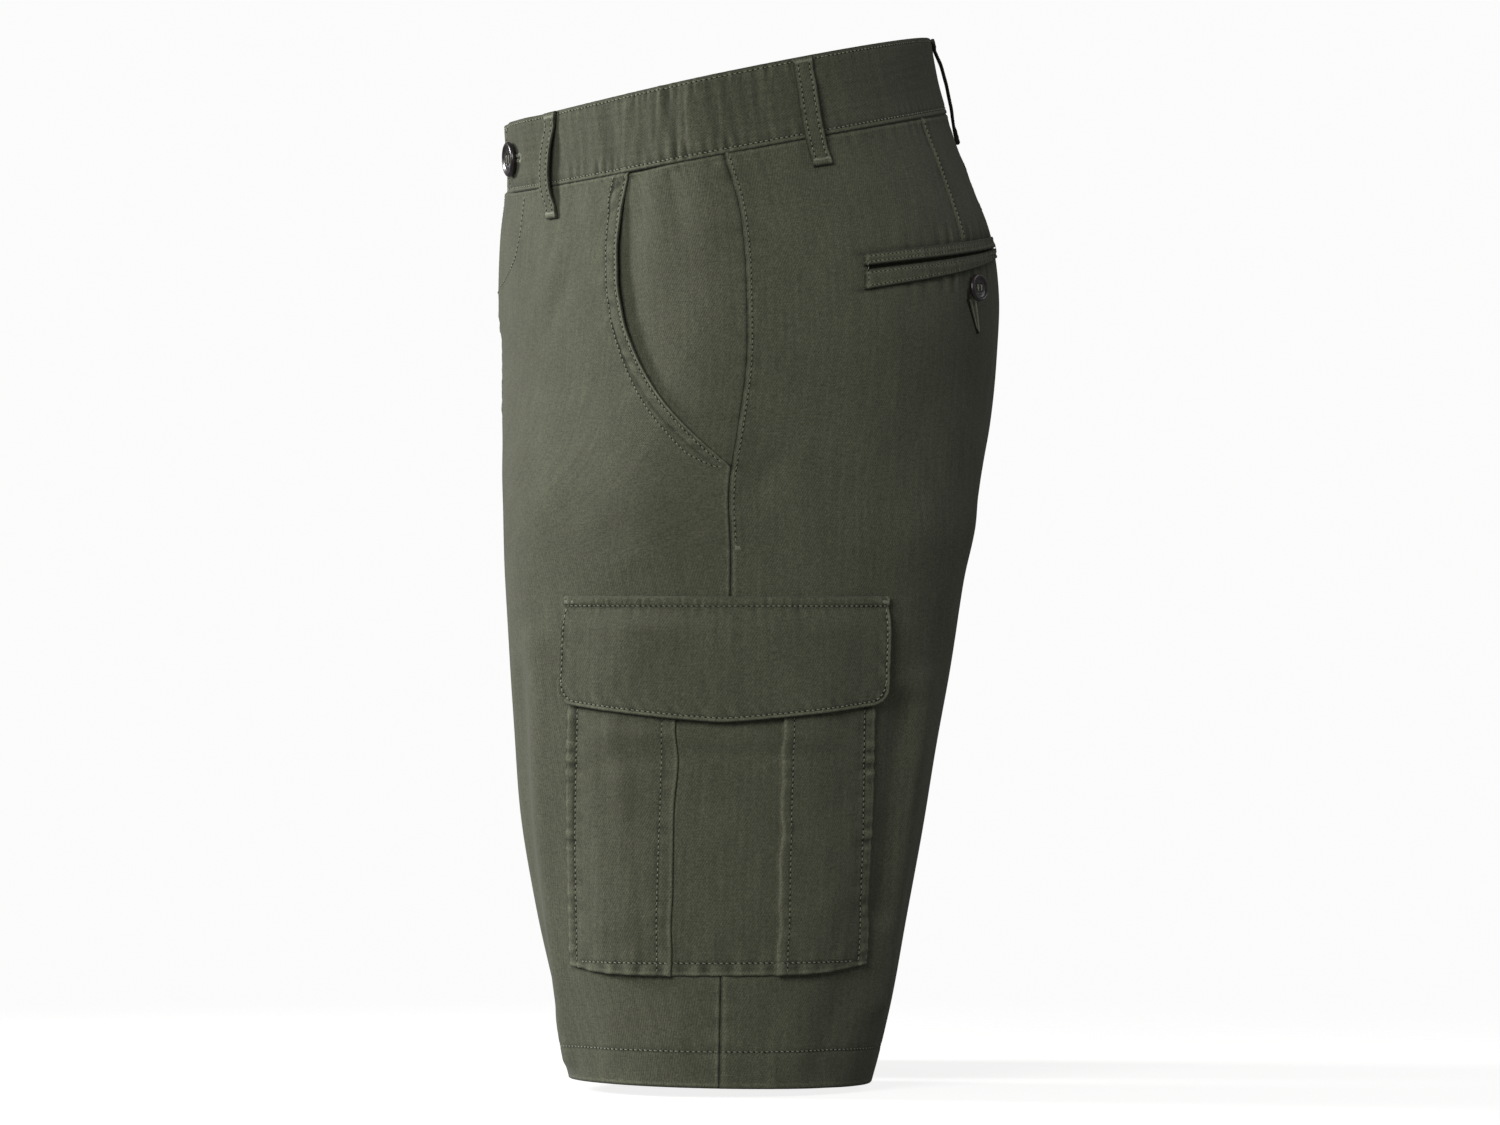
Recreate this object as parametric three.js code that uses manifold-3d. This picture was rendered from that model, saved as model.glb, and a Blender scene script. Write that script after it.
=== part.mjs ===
import * as THREE from "three";
import { mergeVertices } from "three/addons/utils/BufferGeometryUtils.js";
import Module from "manifold-3d";

// Cargo shorts of cotton twill, filled out as they are when worn.
// Millimetres, +Z up, -Y the front, +X the wearer's left side.
// The origin is the middle of the waistband, where the wearer holds the shorts up.

// Cloth and seams
const CLOTH = 1.2;
const SEAM_GAP = 0.3;
const HALF_GAP = SEAM_GAP / 2;

// Levels: a level names one round of the cloth by its height in the middle of the side.
const WAIST_TOP = 16;
const WAIST_SEAM = -27;
const FORK_TOP = -136;
const FORK = -234;
const HEM_FOLD = -491;
const HEM = -512;

// Waistband
const BAND_OUT = 0.8;
const BAND_IN = -1.4;
const BAND_END = 27;
const BAND_CORNER = 9;
const UNDER_END = 54;
const OVERLAP_LIFT = BAND_OUT - BAND_IN + SEAM_GAP;
const OVERLAP_FROM = 57;
const OVERLAP_TO = 76;
const BAND_LEVELS = [WAIST_TOP, 12, -5, -22, WAIST_SEAM + HALF_GAP];

// Elastic gathers at each side of the waistband, measured from the side seam
const GATHER_FRONT = -110;
const GATHER_BACK = 36;
const GATHERS = 26;
const GATHER_DEPTH = 1.3;
const GATHER_SWAY = 0.17;
const GATHER_UNEVEN = 0.3;
const GATHER_AT_EDGE = 0.35;
const GATHER_FULL_TOP = 8;
const GATHER_FULL_BOTTOM = -20;

// Fly: the left front's folded edge lies on the right front
const FLY_LAP = 4;
const FLY_END = -84;
const FLY_LIFT = CLOTH + SEAM_GAP;
const FLY_FLAT = -97;
const FLY_FADE = -116;
const FLY_SLOPE_FROM = 8;
const FLY_SLOPE_TO = 30;

// Belt loops
const LOOP_WIDTH = 11;
const LOOP_BOW = 3.4;
const LOOP_FRONT = { name: "front", top: -118, bottom: -127, foot: -48 };
const LOOP_SIDE = { name: "side", top: 43, bottom: 49, foot: -40 };
const LOOP_FOOT_BACK = -39;
const LOOP_TOP = WAIST_TOP - 0.5;
const LOOP_STEP_DOWN = WAIST_SEAM - 4;

// Back pockets, measured from the side seam
const WELT_FROM = 63;
const WELT_TO = 212;
const WELT_TOP = { side: -82, back: -77.5 };
const WELT_SLIT = { side: -89, back: -82.5 };
const WELT_BOTTOM = { side: -99.6, back: -87 };
const SLIT = 1.6;
const WELT_CLOTH = 1.3;

// Cargo pockets, measured from the side seam
const BAG_CLOTH = 1;
const BAG_LAYER = BAG_CLOTH + SEAM_GAP;
const BAG_TOP = -268;
const BAG_BOTTOM = -453.5;
const BAG_LEFT = { top: -88, bottom: -91 };
const BAG_RIGHT = { top: 80.5, bottom: 85 };
const BAG_CORNER_RISE = 4;
const PLEAT_LEFT = -26;
const PLEAT_RIGHT = 29;
const PLEAT_TUCK = 15;
const FLAP_LEFT = -93;
const FLAP_RIGHT = 87.5;
const FLAP_TOP = -256;
const FLAP_SIDE = -312;
const FLAP_MIDDLE = -321.5;
const FLAP_CORNER = 9;
const FLAP_CLOTH = 2;
const FLAP_PLAY = 0.15;
const FLAP_BLEND = 2;

// Buttons
const BUTTON_GAP = 0.6;
const BUTTON_HOLE = 0.1;
const BUTTON_HOLE_OFF = 0.2;
const WAIST_BUTTON = { radius: 9.5, thickness: 3.2 };
const POCKET_BUTTON = { radius: 7.5, thickness: 2.8 };
const WAIST_BUTTON_FROM_FRONT = 38.5;
const WAIST_BUTTON_LEVEL = -7;
const POCKET_BUTTON_FROM_SEAM = 154;
const POCKET_BUTTON_LEVEL = -101;

const rows = (columns, lines) =>
  lines.map((line) => Object.fromEntries(columns.split(" ").map((name, i) => [name, line[i]])));

// The rounds of the cloth. frontY and backY are the middle of the front and of the back, or of the leg
// below the fork, and frontZ and backZ the heights there. sideX and seamY place the side seam. dip lowers
// the side, and frontFull and backFull say how square the corners are.
const ROUNDS = rows("level frontY frontZ backY backZ sideX seamY dip frontFull backFull", [
  [16, -115.8, -2.7, 112.3, 44.3, 154, -2.5, 2.5, 0.42, 0.6],
  [-27, -114.2, -38.9, 121.5, 4.3, 159, -1, 6.4, 0.43, 0.62],
  [-52, -116.9, -59.9, 134.5, -31.9, 167, 6.6, 5, 0.46, 0.64],
  [-74, -117.7, -83.2, 144.7, -58.9, 174, 9.5, 3, 0.48, 0.65],
  [-103, -117.7, -110.2, 150.1, -94, 180, 10.5, 1, 0.5, 0.66],
  [-135, -117.7, -139.9, 148.8, -130.1, 183.5, 10.2, 0, 0.52, 0.66],
  [-166, -117.7, -167, 144.5, -164, 185, 6.2, 0, 0.54, 0.64],
  [-200, -117.2, -200, 137.6, -199, 186, 1.2, 0, 0.55, 0.6],
  [-234, -116.2, -234, 130.2, -234, 186, 2.1, 0, 0.55, 0.58],
  [-258, -115, -258, 126.2, -258, 186, 1.8, 0, 0.55, 0.56],
  [-311, -112.2, -311, 117.7, -311, 186, 0.4, 0, 0.55, 0.55],
  [-364, -108, -364, 108.3, -364, 186, -1, 0, 0.55, 0.55],
  [-417, -99.8, -417, 98.4, -417, 187, -2.3, 0, 0.55, 0.55],
  [-470, -90, -470, 88.2, -470, 188, -3.4, 0, 0.55, 0.55],
  [-512, -81.8, -510.4, 77.8, -513.4, 189, -4.1, 0, 0.55, 0.55],
]);

// The legs below the fork: how far out the middle of the leg's front and back lie, and its inner side.
const LEGS = rows("level frontX backX innerX innerY", [
  [-234, 84, 88, 0, 10],
  [-258, 86, 89, 2, 9],
  [-311, 91, 93, 6, 7],
  [-364, 95, 96, 10, 5],
  [-417, 99, 99, 13, 3],
  [-470, 101, 102, 15, 1],
  [-512, 103, 103, 17, 0],
]);

// The slanted front pocket's edge: how far ahead of the side seam it lies.
const SLANT = rows("level ahead", [
  [-27, 56.5],
  [-46, 67],
  [-70, 73.8],
  [-94, 73.2],
  [-114, 68.4],
  [-135, 57.4],
  [-155, 40.8],
  [-171, 23.3],
  [-189, HALF_GAP],
]);
const SLANT_END = -189;

// The largest folds, as ridges (height above 0) and valleys, from one end to the other.
// side is 1 on the wearer's left and -1 on the right. u is measured from the side seam, ahead below 0.
const FOLDS = rows("side u0 level0 u1 level1 width height", [
  [1, 104, -312, 96, -420, 11, -3],
  [1, 118, -300, 106, -470, 13, 2.2],
  [1, -112, -280, -104, -500, 12, 2],
  [1, -134, -300, -122, -470, 14, -1.6],
  [1, 24, -186, 6, -214, 6, -1.2],
  [1, 74, -455, 58, -505, 12, -1.4],
  [-1, 101, -330, 94, -440, 12, -2.6],
  [-1, 120, -286, 109, -455, 14, 2.4],
  [-1, -108, -296, -102, -496, 13, 2.2],
  [-1, -131, -318, -124, -482, 14, -1.8],
  [-1, 21, -182, 5, -208, 6, -1],
  [-1, 70, -458, 60, -507, 12, -1.2],
]);

const clamp = (x, low, high) => Math.min(Math.max(x, low), high);
const mix = (a, b, t) => a + (b - a) * t;
const ease = (from, to, x) => {
  const t = clamp((x - from) / (to - from), 0, 1);
  return t * t * (3 - 2 * t);
};
const steps = (from, to, count) => Array.from({ length: count + 1 }, (_, i) => mix(from, to, i / count));

// A smooth curve through one column of a table whose levels fall from row to row.
function curve(table, column) {
  const keys = table.map((row) => row.level);
  const values = table.map((row) => row[column]);
  const secants = keys.slice(1).map((key, i) => (values[i + 1] - values[i]) / (key - keys[i]));
  const slopes = values.map((_, i) => {
    if (i === 0) return secants[0];
    if (i === values.length - 1) return secants[i - 1];
    const before = keys[i] - keys[i - 1];
    const after = keys[i + 1] - keys[i];
    return (secants[i - 1] * after + secants[i] * before) / (before + after);
  });
  return (level) => {
    let i = 0;
    while (i < keys.length - 2 && level < keys[i + 1]) i++;
    const span = keys[i + 1] - keys[i];
    const t = clamp((level - keys[i]) / span, 0, 1);
    return (
      (2 * t ** 3 - 3 * t ** 2 + 1) * values[i] +
      (t ** 3 - 2 * t ** 2 + t) * span * slopes[i] +
      (3 * t ** 2 - 2 * t ** 3) * values[i + 1] +
      (t ** 3 - t ** 2) * span * slopes[i + 1]
    );
  };
}

const curves = (table) =>
  Object.fromEntries(Object.keys(table[0]).map((column) => [column, curve(table, column)]));
const round = curves(ROUNDS);
const leg = curves(LEGS);
const slantAhead = curve(SLANT, "ahead");

// A quarter bend from a to b that leaves along leave and arrives along arrive, square at fullness 1.
function bend(a, leave, b, arrive, fullness, count) {
  const reach = (direction) => Math.abs((b.x - a.x) * direction.x + (b.y - a.y) * direction.y);
  const first = a.clone().addScaledVector(leave, fullness * reach(leave));
  const second = b.clone().addScaledVector(arrive, -fullness * reach(arrive));
  return new THREE.CubicBezierCurve(a, first, second, b).getPoints(count);
}

// A line of points with the length run at each, so that it can be walked evenly.
function walked(points) {
  const run = [0];
  for (let i = 1; i < points.length; i++) run.push(run[i - 1] + points[i].distanceTo(points[i - 1]));
  return { points, run, length: run[run.length - 1] };
}

function walkTo(line, share) {
  const target = share * line.length;
  let i = 1;
  while (i < line.run.length - 1 && line.run[i] < target) i++;
  const t = (target - line.run[i - 1]) / (line.run[i] - line.run[i - 1]);
  return line.points[i - 1].clone().lerp(line.points[i], t);
}

// The inner quarter of a leg, from where it meets the middle of the garment, or its innermost line, to the
// middle of the leg's front or back. Above the fork the two legs run into each other.
function innerQuarter(width, middleX, innerY, outerY, count) {
  const start = Math.acos(Math.min(middleX / width, 1));
  return steps(start, Math.PI / 2, count).map((angle) => {
    const x = Math.max(middleX - width * Math.cos(angle), 0);
    return new THREE.Vector2(x, mix(innerY, outerY, Math.sin(angle)));
  });
}

const BEND_STEPS = 24;
const known = new Map();

// One round of the left half: the front line runs from the middle of the front, or the inseam, to the
// side seam, and the back line from there to the middle of the back, or the inseam.
function roundAt(level) {
  if (known.has(level)) return known.get(level);
  const low = Math.min(level, FORK);
  const split = ease(FORK_TOP, FORK, level);
  const frontY = round.frontY(level);
  const backY = round.backY(level);
  const innerY = leg.innerY(low);
  const front = new THREE.Vector2(leg.frontX(low) * split, frontY);
  const side = new THREE.Vector2(round.sideX(level), round.seamY(level));
  const back = new THREE.Vector2(leg.backX(low) * split, backY);
  const outward = new THREE.Vector2(1, 0);
  const backward = new THREE.Vector2(0, 1);
  const inward = new THREE.Vector2(-1, 0);
  const frontWidth = leg.frontX(low) - leg.innerX(low);
  const backWidth = leg.backX(low) - leg.innerX(low);
  const inFront = innerQuarter(frontWidth, front.x, innerY, frontY, BEND_STEPS);
  const inBack = innerQuarter(backWidth, back.x, innerY, backY, BEND_STEPS).reverse();
  const toSide = bend(front, outward, side, backward, round.frontFull(level), BEND_STEPS);
  const toBack = bend(side, backward, back, inward, round.backFull(level), BEND_STEPS);
  const made = {
    front: walked([...(split > 0 ? inFront.slice(0, -1) : []), ...toSide]),
    back: walked([...toBack, ...(split > 0 ? inBack.slice(1) : [])]),
    frontY,
    backY,
    frontZ: round.frontZ(level),
    backZ: round.backZ(level),
    dip: round.dip(level),
  };
  known.set(level, made);
  return made;
}

// Places on the cloth: g runs from the front middle (0) over the side seam (1) to the back middle (2).
function bare(g, level) {
  const at = roundAt(level);
  const flat = g < 1 ? walkTo(at.front, g) : walkTo(at.back, g - 1);
  const share = (flat.y - at.frontY) / (at.backY - at.frontY);
  const z = mix(at.frontZ, at.backZ, share) - at.dip * Math.sin((Math.PI * g) / 2);
  return new THREE.Vector3(flat.x, flat.y, z);
}

function facing(g, level) {
  const across = bare(Math.min(g + 0.01, 2), level).sub(bare(Math.max(g - 0.01, 0), level));
  const up = bare(g, Math.min(level + 1, WAIST_TOP)).sub(bare(g, Math.max(level - 1, HEM)));
  return across.cross(up).normalize();
}

const seamPlace = (level, u) => 1 + u / (u < 0 ? roundAt(level).front.length : roundAt(level).back.length);
const frontPlace = (level, w) => w / roundAt(level).front.length;
const backPlace = (level, w) => 2 - w / roundAt(level).back.length;
const fromSeam = (g, level) => (g - 1) * (g < 1 ? roundAt(level).front.length : roundAt(level).back.length);

function foldHeight(side, u, level) {
  let height = 0;
  for (const fold of FOLDS) {
    if (fold.side !== side) continue;
    const du = fold.u1 - fold.u0;
    const dl = fold.level1 - fold.level0;
    const length = Math.hypot(du, dl);
    const along = ((u - fold.u0) * du + (level - fold.level0) * dl) / length;
    const across = ((u - fold.u0) * dl - (level - fold.level0) * du) / length;
    const past = Math.max(0, -along, along - length);
    height += fold.height * Math.exp(-((across / fold.width) ** 2) - (past / fold.width / 2) ** 2);
  }
  return height;
}

// A point of the shorts, out millimetres off the cloth's face. A place g below 0 lies past the middle front.
function cloth(side, g, level, out) {
  const own = g < 0 || g > 2 ? -side : side;
  const place = g < 0 ? -g : g > 2 ? 4 - g : g;
  const height = out + foldHeight(own, fromSeam(place, level), level);
  const point = bare(place, level).addScaledVector(facing(place, level), height);
  point.x *= own;
  return point;
}

// A closed body from vertices and triangles, turned so that its faces point outward.
function body(points, triangles) {
  let volume = 0;
  for (const [a, b, c] of triangles) volume += points[a].dot(points[b].clone().cross(points[c]));
  const geometry = new THREE.BufferGeometry();
  geometry.setAttribute("position", new THREE.Float32BufferAttribute(points.flatMap((p) => p.toArray()), 3));
  geometry.setIndex(triangles.flatMap(([a, b, c]) => (volume < 0 ? [a, c, b] : [a, b, c])));
  return geometry;
}

// A wall of cloth: place(i, j) gives its outer and inner point at row i and column j.
function wall(rowCount, columnCount, place) {
  const points = [];
  const triangles = [];
  const sheet = rowCount * columnCount;
  const at = (layer, i, j) => layer * sheet + i * columnCount + j;
  const square = (a, b, c, d) => triangles.push([a, b, c], [a, c, d]);
  for (let i = 0; i < rowCount; i++)
    for (let j = 0; j < columnCount; j++) {
      const [outer, inner] = place(i, j);
      points[at(0, i, j)] = outer;
      points[at(1, i, j)] = inner;
    }
  for (let i = 0; i < rowCount - 1; i++)
    for (let j = 0; j < columnCount - 1; j++) {
      square(at(0, i, j), at(0, i + 1, j), at(0, i + 1, j + 1), at(0, i, j + 1));
      square(at(1, i, j), at(1, i, j + 1), at(1, i + 1, j + 1), at(1, i + 1, j));
    }
  for (let i = 0; i < rowCount - 1; i++) {
    const last = columnCount - 1;
    square(at(0, i, 0), at(1, i, 0), at(1, i + 1, 0), at(0, i + 1, 0));
    square(at(0, i, last), at(0, i + 1, last), at(1, i + 1, last), at(1, i, last));
  }
  for (let j = 0; j < columnCount - 1; j++) {
    const last = rowCount - 1;
    square(at(0, 0, j), at(0, 0, j + 1), at(1, 0, j + 1), at(1, 0, j));
    square(at(0, last, j), at(1, last, j), at(1, last, j + 1), at(0, last, j + 1));
  }
  return body(points, triangles);
}

const material = (color, roughness) => new THREE.MeshStandardMaterial({ color, roughness, metalness: 0 });
const shorts = new THREE.Group();
function add(name, geometry, color, roughness) {
  const mesh = new THREE.Mesh(geometry, material(color, roughness));
  mesh.name = name;
  shorts.add(mesh);
  return mesh;
}

const OLIVE = 0x4e5144;
const OLIVE_BAND = 0x52554a;
const OLIVE_POCKET = 0x4a4d40;
const BUTTON_BROWN = 0x1d171b;
const TWILL_ROUGHNESS = 0.92;
const BUTTON_ROUGHNESS = 0.35;
const SIDES = [
  [1, "left"],
  [-1, "right"],
];

// Front and back panels, from the waist seam to the hem, where the cloth is folded up inside
const TORSO_LEVELS = [-42, -59, -78, -97, -116, -135, -153, -171, SLANT_END];
const FORK_LEVELS = [-203, -215, -224, -230, FORK];
const LEG_LEVELS = [-255, -282, -310, -340, -370, -400, -430, -460];
const PANEL_LEVELS = [
  WAIST_SEAM - HALF_GAP,
  ...TORSO_LEVELS,
  ...FORK_LEVELS,
  ...LEG_LEVELS,
  HEM_FOLD + HALF_GAP,
  HEM_FOLD,
  HEM,
];
const FRONT_SHARES = [0, 0.04, 0.09, 0.15, 0.22, ...steps(0.3, 0.78, 6), 0.85, 0.9, 0.95, 1];
const BACK_SHARES = steps(0, 1, 15);
const innerFace = (level) => (level > HEM_FOLD ? -CLOTH : -2 * CLOTH);

const mouthShare = (level) => Math.sin(Math.PI * ease(WAIST_SEAM, SLANT_END, level));
const MOUTH_LIFT = 1.3;
const MOUTH_REACH = 12;

function slantEdge(level) {
  return level > SLANT_END ? -slantAhead(level) : -HALF_GAP;
}

function frontPanel(side) {
  return wall(PANEL_LEVELS.length, FRONT_SHARES.length, (i, j) => {
    const level = PANEL_LEVELS[i];
    const lap = side > 0 && level > FLY_END;
    const from = frontPlace(level, lap ? -FLY_LAP : HALF_GAP);
    const to = seamPlace(level, slantEdge(level));
    const g = mix(from, to, FRONT_SHARES[j]);
    const fromFly = (g - from) * roundAt(level).front.length;
    const onFly = side > 0 ? ease(FLY_FADE, FLY_FLAT, level) : 0;
    const flyLift = FLY_LIFT * onFly * (1 - ease(FLY_SLOPE_FROM, FLY_SLOPE_TO, fromFly));
    const fromSlant = slantEdge(level) - fromSeam(Math.abs(g), level);
    const lift = MOUTH_LIFT * mouthShare(level) * Math.exp(-((fromSlant / MOUTH_REACH) ** 2));
    const out = flyLift + lift;
    return [cloth(side, g, level, out), cloth(side, g, level, out + innerFace(level))];
  });
}

function backPanel(side) {
  return wall(PANEL_LEVELS.length, BACK_SHARES.length, (i, j) => {
    const level = PANEL_LEVELS[i];
    const g = mix(seamPlace(level, HALF_GAP), backPlace(level, HALF_GAP), BACK_SHARES[j]);
    return [cloth(side, g, level, 0), cloth(side, g, level, innerFace(level))];
  });
}

// The pocket's bearer: it lies under the front's slanted edge and comes up to the side seam
const BEARER_UNDER = 14;
const BEARER_SINK = 2.2;
const BEARER_OPEN = -153;
const BEARER_LOW = -171;
const BEARER_DROP = 1.3;
const BEARER_SINK_REACH = 10;
const BEARER_RISE_FROM = 6;
const BEARER_RISE_TO = 30;
const BEARER_LEVELS = PANEL_LEVELS.slice(0, TORSO_LEVELS.length + 2);
const BEARER_SHARES = [0, 0.12, 0.24, 0.4, 0.7, 1];

function bearer(side) {
  return wall(BEARER_LEVELS.length, BEARER_SHARES.length, (i, j) => {
    const level = BEARER_LEVELS[i];
    const edge = slantEdge(level);
    const u = mix(edge - BEARER_UNDER, -HALF_GAP, BEARER_SHARES[j]);
    const shown = u - edge;
    const open = ease(BEARER_LOW, BEARER_OPEN, level);
    const rise = (CLOTH + SEAM_GAP) * ease(BEARER_RISE_FROM, BEARER_RISE_TO, shown) * open;
    const sink = BEARER_SINK * mouthShare(level) * Math.exp(-((shown / BEARER_SINK_REACH) ** 2));
    const out = rise - CLOTH - SEAM_GAP - sink - BEARER_DROP * (1 - open);
    const g = seamPlace(level, u);
    return [cloth(side, g, level, out), cloth(side, g, level, out - CLOTH)];
  });
}

// How far a rounded corner of this radius cuts in at a distance from the piece's end
function cornerCut(distance, radius) {
  const left = radius - clamp(distance, 0, radius);
  return radius - Math.sqrt(radius ** 2 - left ** 2);
}

// Waistband: the left half laps over the right at the front, and both are gathered at the side. Each
// gather has its ridge a little off its middle, and no two neighbours are alike in height.
function gatherPlaces() {
  const places = [];
  const pitch = (GATHER_BACK - GATHER_FRONT) / GATHERS;
  for (let k = 0; k < GATHERS; k++) {
    const start = GATHER_FRONT + k * pitch;
    const ridge = 0.5 + GATHER_SWAY * Math.sin(2.1 * k + 0.6);
    const wave = 1 - GATHER_UNEVEN + GATHER_UNEVEN * Math.sin(1.7 * k);
    places.push({ u: start, wave: 0 });
    places.push({ u: start + ridge * pitch, wave });
  }
  places.push({ u: GATHER_BACK, wave: 0 });
  return places;
}

function gatherAtLevel(level) {
  const inside = ease(WAIST_TOP, GATHER_FULL_TOP, level) * ease(WAIST_SEAM, GATHER_FULL_BOTTOM, level);
  return mix(GATHER_AT_EDGE, 1, inside);
}

const seamU = (u) => seamPlace(WAIST_SEAM, u);
const END_COLUMNS = [0, 1, 3, 6, BAND_CORNER].map((d) => BAND_END + d);
const LIFTED_COLUMNS = [45, OVERLAP_FROM, 63, 69, OVERLAP_TO];
const UNDER_COLUMNS = [-UNDER_END, -36, -18, 0, 9, 22, 38, 57, OVERLAP_TO];

function bandColumns(side) {
  const plain = (g) => ({ g, wave: 0 });
  const frontEnd = seamU(GATHER_FRONT);
  const frontColumns = side > 0 ? [...END_COLUMNS, ...LIFTED_COLUMNS] : UNDER_COLUMNS;
  const front = frontColumns.map((w) => plain(frontPlace(WAIST_SEAM, w)));
  const gathered = gatherPlaces().map(({ u, wave }) => ({ g: seamU(u), wave }));
  const between = plain((frontPlace(WAIST_SEAM, OVERLAP_TO) + frontEnd) / 2);
  const back = steps(seamU(GATHER_BACK), backPlace(WAIST_SEAM, HALF_GAP), 8).slice(1).map(plain);
  return [...front, between, ...gathered, ...back];
}

function waistband(side) {
  const columns = bandColumns(side);
  const lastRow = BAND_LEVELS.length - 1;
  return wall(BAND_LEVELS.length, columns.length, (i, j) => {
    const { g, wave } = columns[j];
    const fromFront = g * roundAt(WAIST_SEAM).front.length;
    const cut = side > 0 ? cornerCut(fromFront - BAND_END, BAND_CORNER) : 0;
    const level = Math.min(BAND_LEVELS[i], WAIST_TOP - (cut * (lastRow - i)) / lastRow);
    const lift = side > 0 ? OVERLAP_LIFT * (1 - ease(OVERLAP_FROM, OVERLAP_TO, fromFront)) : 0;
    const gather = GATHER_DEPTH * wave * gatherAtLevel(level);
    return [cloth(side, g, level, BAND_OUT + lift + gather), cloth(side, g, level, BAND_IN + lift)];
  });
}

// Belt loops: folded ends sewn down on the band and below it, standing off between them
const LOOP_PATH = rows("share bow cloth", [
  [0, 0, 2.2],
  [0.1, 0.05, 2.2],
  [0.14, 0.2, 1.4],
  [0.32, 0.8, 1.4],
  [0.55, 1, 1.4],
  [0.76, 0.75, 1.4],
  [0.88, 0.2, 1.4],
  [0.92, 0.05, 2.2],
  [1, 0, 2.2],
]);

function loop(side, across, foot) {
  return wall(LOOP_PATH.length, 3, (i, j) => {
    const { share, bow, cloth: thickness } = LOOP_PATH[i];
    const level = mix(LOOP_TOP, foot, share);
    const seat = level > LOOP_STEP_DOWN ? BAND_OUT : mix(BAND_OUT, 0, ease(LOOP_STEP_DOWN, foot, level));
    const from = seat + SEAM_GAP + LOOP_BOW * bow;
    const g = across(level, share, (j - 1) * (LOOP_WIDTH / 2));
    return [cloth(side, g, level, from + thickness), cloth(side, g, level, from)];
  });
}

// Back pocket welts, an upper and a lower one with the slit between them
function welt(side, top, topGap, bottom, bottomGap) {
  const columns = steps(WELT_FROM, WELT_TO, 14);
  return wall(2, columns.length, (i, j) => {
    const u = columns[j];
    const share = (u - WELT_FROM) / (WELT_TO - WELT_FROM);
    const upper = mix(top.side, top.back, share) - topGap;
    const lower = mix(bottom.side, bottom.back, share) + bottomGap;
    const level = i === 0 ? upper : lower;
    const g = seamPlace(level, u);
    return [cloth(side, g, level, SEAM_GAP + WELT_CLOTH), cloth(side, g, level, SEAM_GAP)];
  });
}

// Cargo pocket: one cloth with an inverted box pleat. Its path runs across the pocket, height is the
// middle of the cloth off the leg, and edge 1 or -1 measures from the right or left edge.
const LAYER = [0, 1, 2].map((k) => SEAM_GAP + BAG_CLOTH / 2 + k * BAG_LAYER);
const FOLD_OUT = 0.55;
const BAG_PATH = rows("edge u height", [
  [-1, 0, LAYER[0]],
  [-1, 5, LAYER[0] + 0.6],
  [-1, 15, LAYER[1] - 0.1],
  [-1, 26, LAYER[1] + 0.4],
  [-1, 37, LAYER[2] - 0.4],
  [0, PLEAT_LEFT - PLEAT_TUCK - 2, LAYER[2] - 0.1],
  [0, PLEAT_LEFT - PLEAT_TUCK / 2, LAYER[2]],
  [0, PLEAT_LEFT - FOLD_OUT, LAYER[2]],
  [0, PLEAT_LEFT, (LAYER[1] + LAYER[2]) / 2],
  [0, PLEAT_LEFT - FOLD_OUT, LAYER[1]],
  [0, PLEAT_LEFT - PLEAT_TUCK, LAYER[1]],
  [0, PLEAT_LEFT - PLEAT_TUCK - FOLD_OUT, (LAYER[0] + LAYER[1]) / 2],
  [0, PLEAT_LEFT - PLEAT_TUCK, LAYER[0]],
  [0, PLEAT_LEFT - PLEAT_TUCK / 2, LAYER[0]],
  [0, PLEAT_LEFT, LAYER[0]],
  [0, mix(PLEAT_LEFT, PLEAT_RIGHT, 0.25), LAYER[0]],
  [0, mix(PLEAT_LEFT, PLEAT_RIGHT, 0.5), LAYER[0]],
  [0, mix(PLEAT_LEFT, PLEAT_RIGHT, 0.75), LAYER[0]],
  [0, PLEAT_RIGHT, LAYER[0]],
  [0, PLEAT_RIGHT + PLEAT_TUCK / 2, LAYER[0]],
  [0, PLEAT_RIGHT + PLEAT_TUCK, LAYER[0]],
  [0, PLEAT_RIGHT + PLEAT_TUCK + FOLD_OUT, (LAYER[0] + LAYER[1]) / 2],
  [0, PLEAT_RIGHT + PLEAT_TUCK, LAYER[1]],
  [0, PLEAT_RIGHT + FOLD_OUT, LAYER[1]],
  [0, PLEAT_RIGHT, (LAYER[1] + LAYER[2]) / 2],
  [0, PLEAT_RIGHT + FOLD_OUT, LAYER[2]],
  [0, PLEAT_RIGHT + PLEAT_TUCK / 2, LAYER[2]],
  [0, PLEAT_RIGHT + PLEAT_TUCK + 2, LAYER[2] - 0.1],
  [1, -26, LAYER[1] + 0.4],
  [1, -15, LAYER[1] - 0.1],
  [1, -5, LAYER[0] + 0.6],
  [1, 0, LAYER[0]],
]);
const BAG_ROWS = 7;

function bagPath(share) {
  const left = mix(BAG_LEFT.top, BAG_LEFT.bottom, share);
  const right = mix(BAG_RIGHT.top, BAG_RIGHT.bottom, share);
  return BAG_PATH.map(({ edge, u, height }) => {
    const from = edge < 0 ? left : edge > 0 ? right : 0;
    return new THREE.Vector2(from + u, height);
  });
}

// The path moved sideways by a distance, its corners mitred as far as the limit
const MITRE_LIMIT = 0.6;

function beside(path, distance) {
  const across = (a, b) => new THREE.Vector2(a.y - b.y, b.x - a.x).normalize();
  return path.map((point, i) => {
    const before = across(path[Math.max(i - 1, 0)], path[Math.max(i, 1)]);
    const after = across(path[Math.min(i, path.length - 2)], path[Math.min(i + 1, path.length - 1)]);
    const middle = before.clone().add(after).normalize();
    return point.clone().addScaledVector(middle, distance / Math.max(middle.dot(before), MITRE_LIMIT));
  });
}

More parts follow.
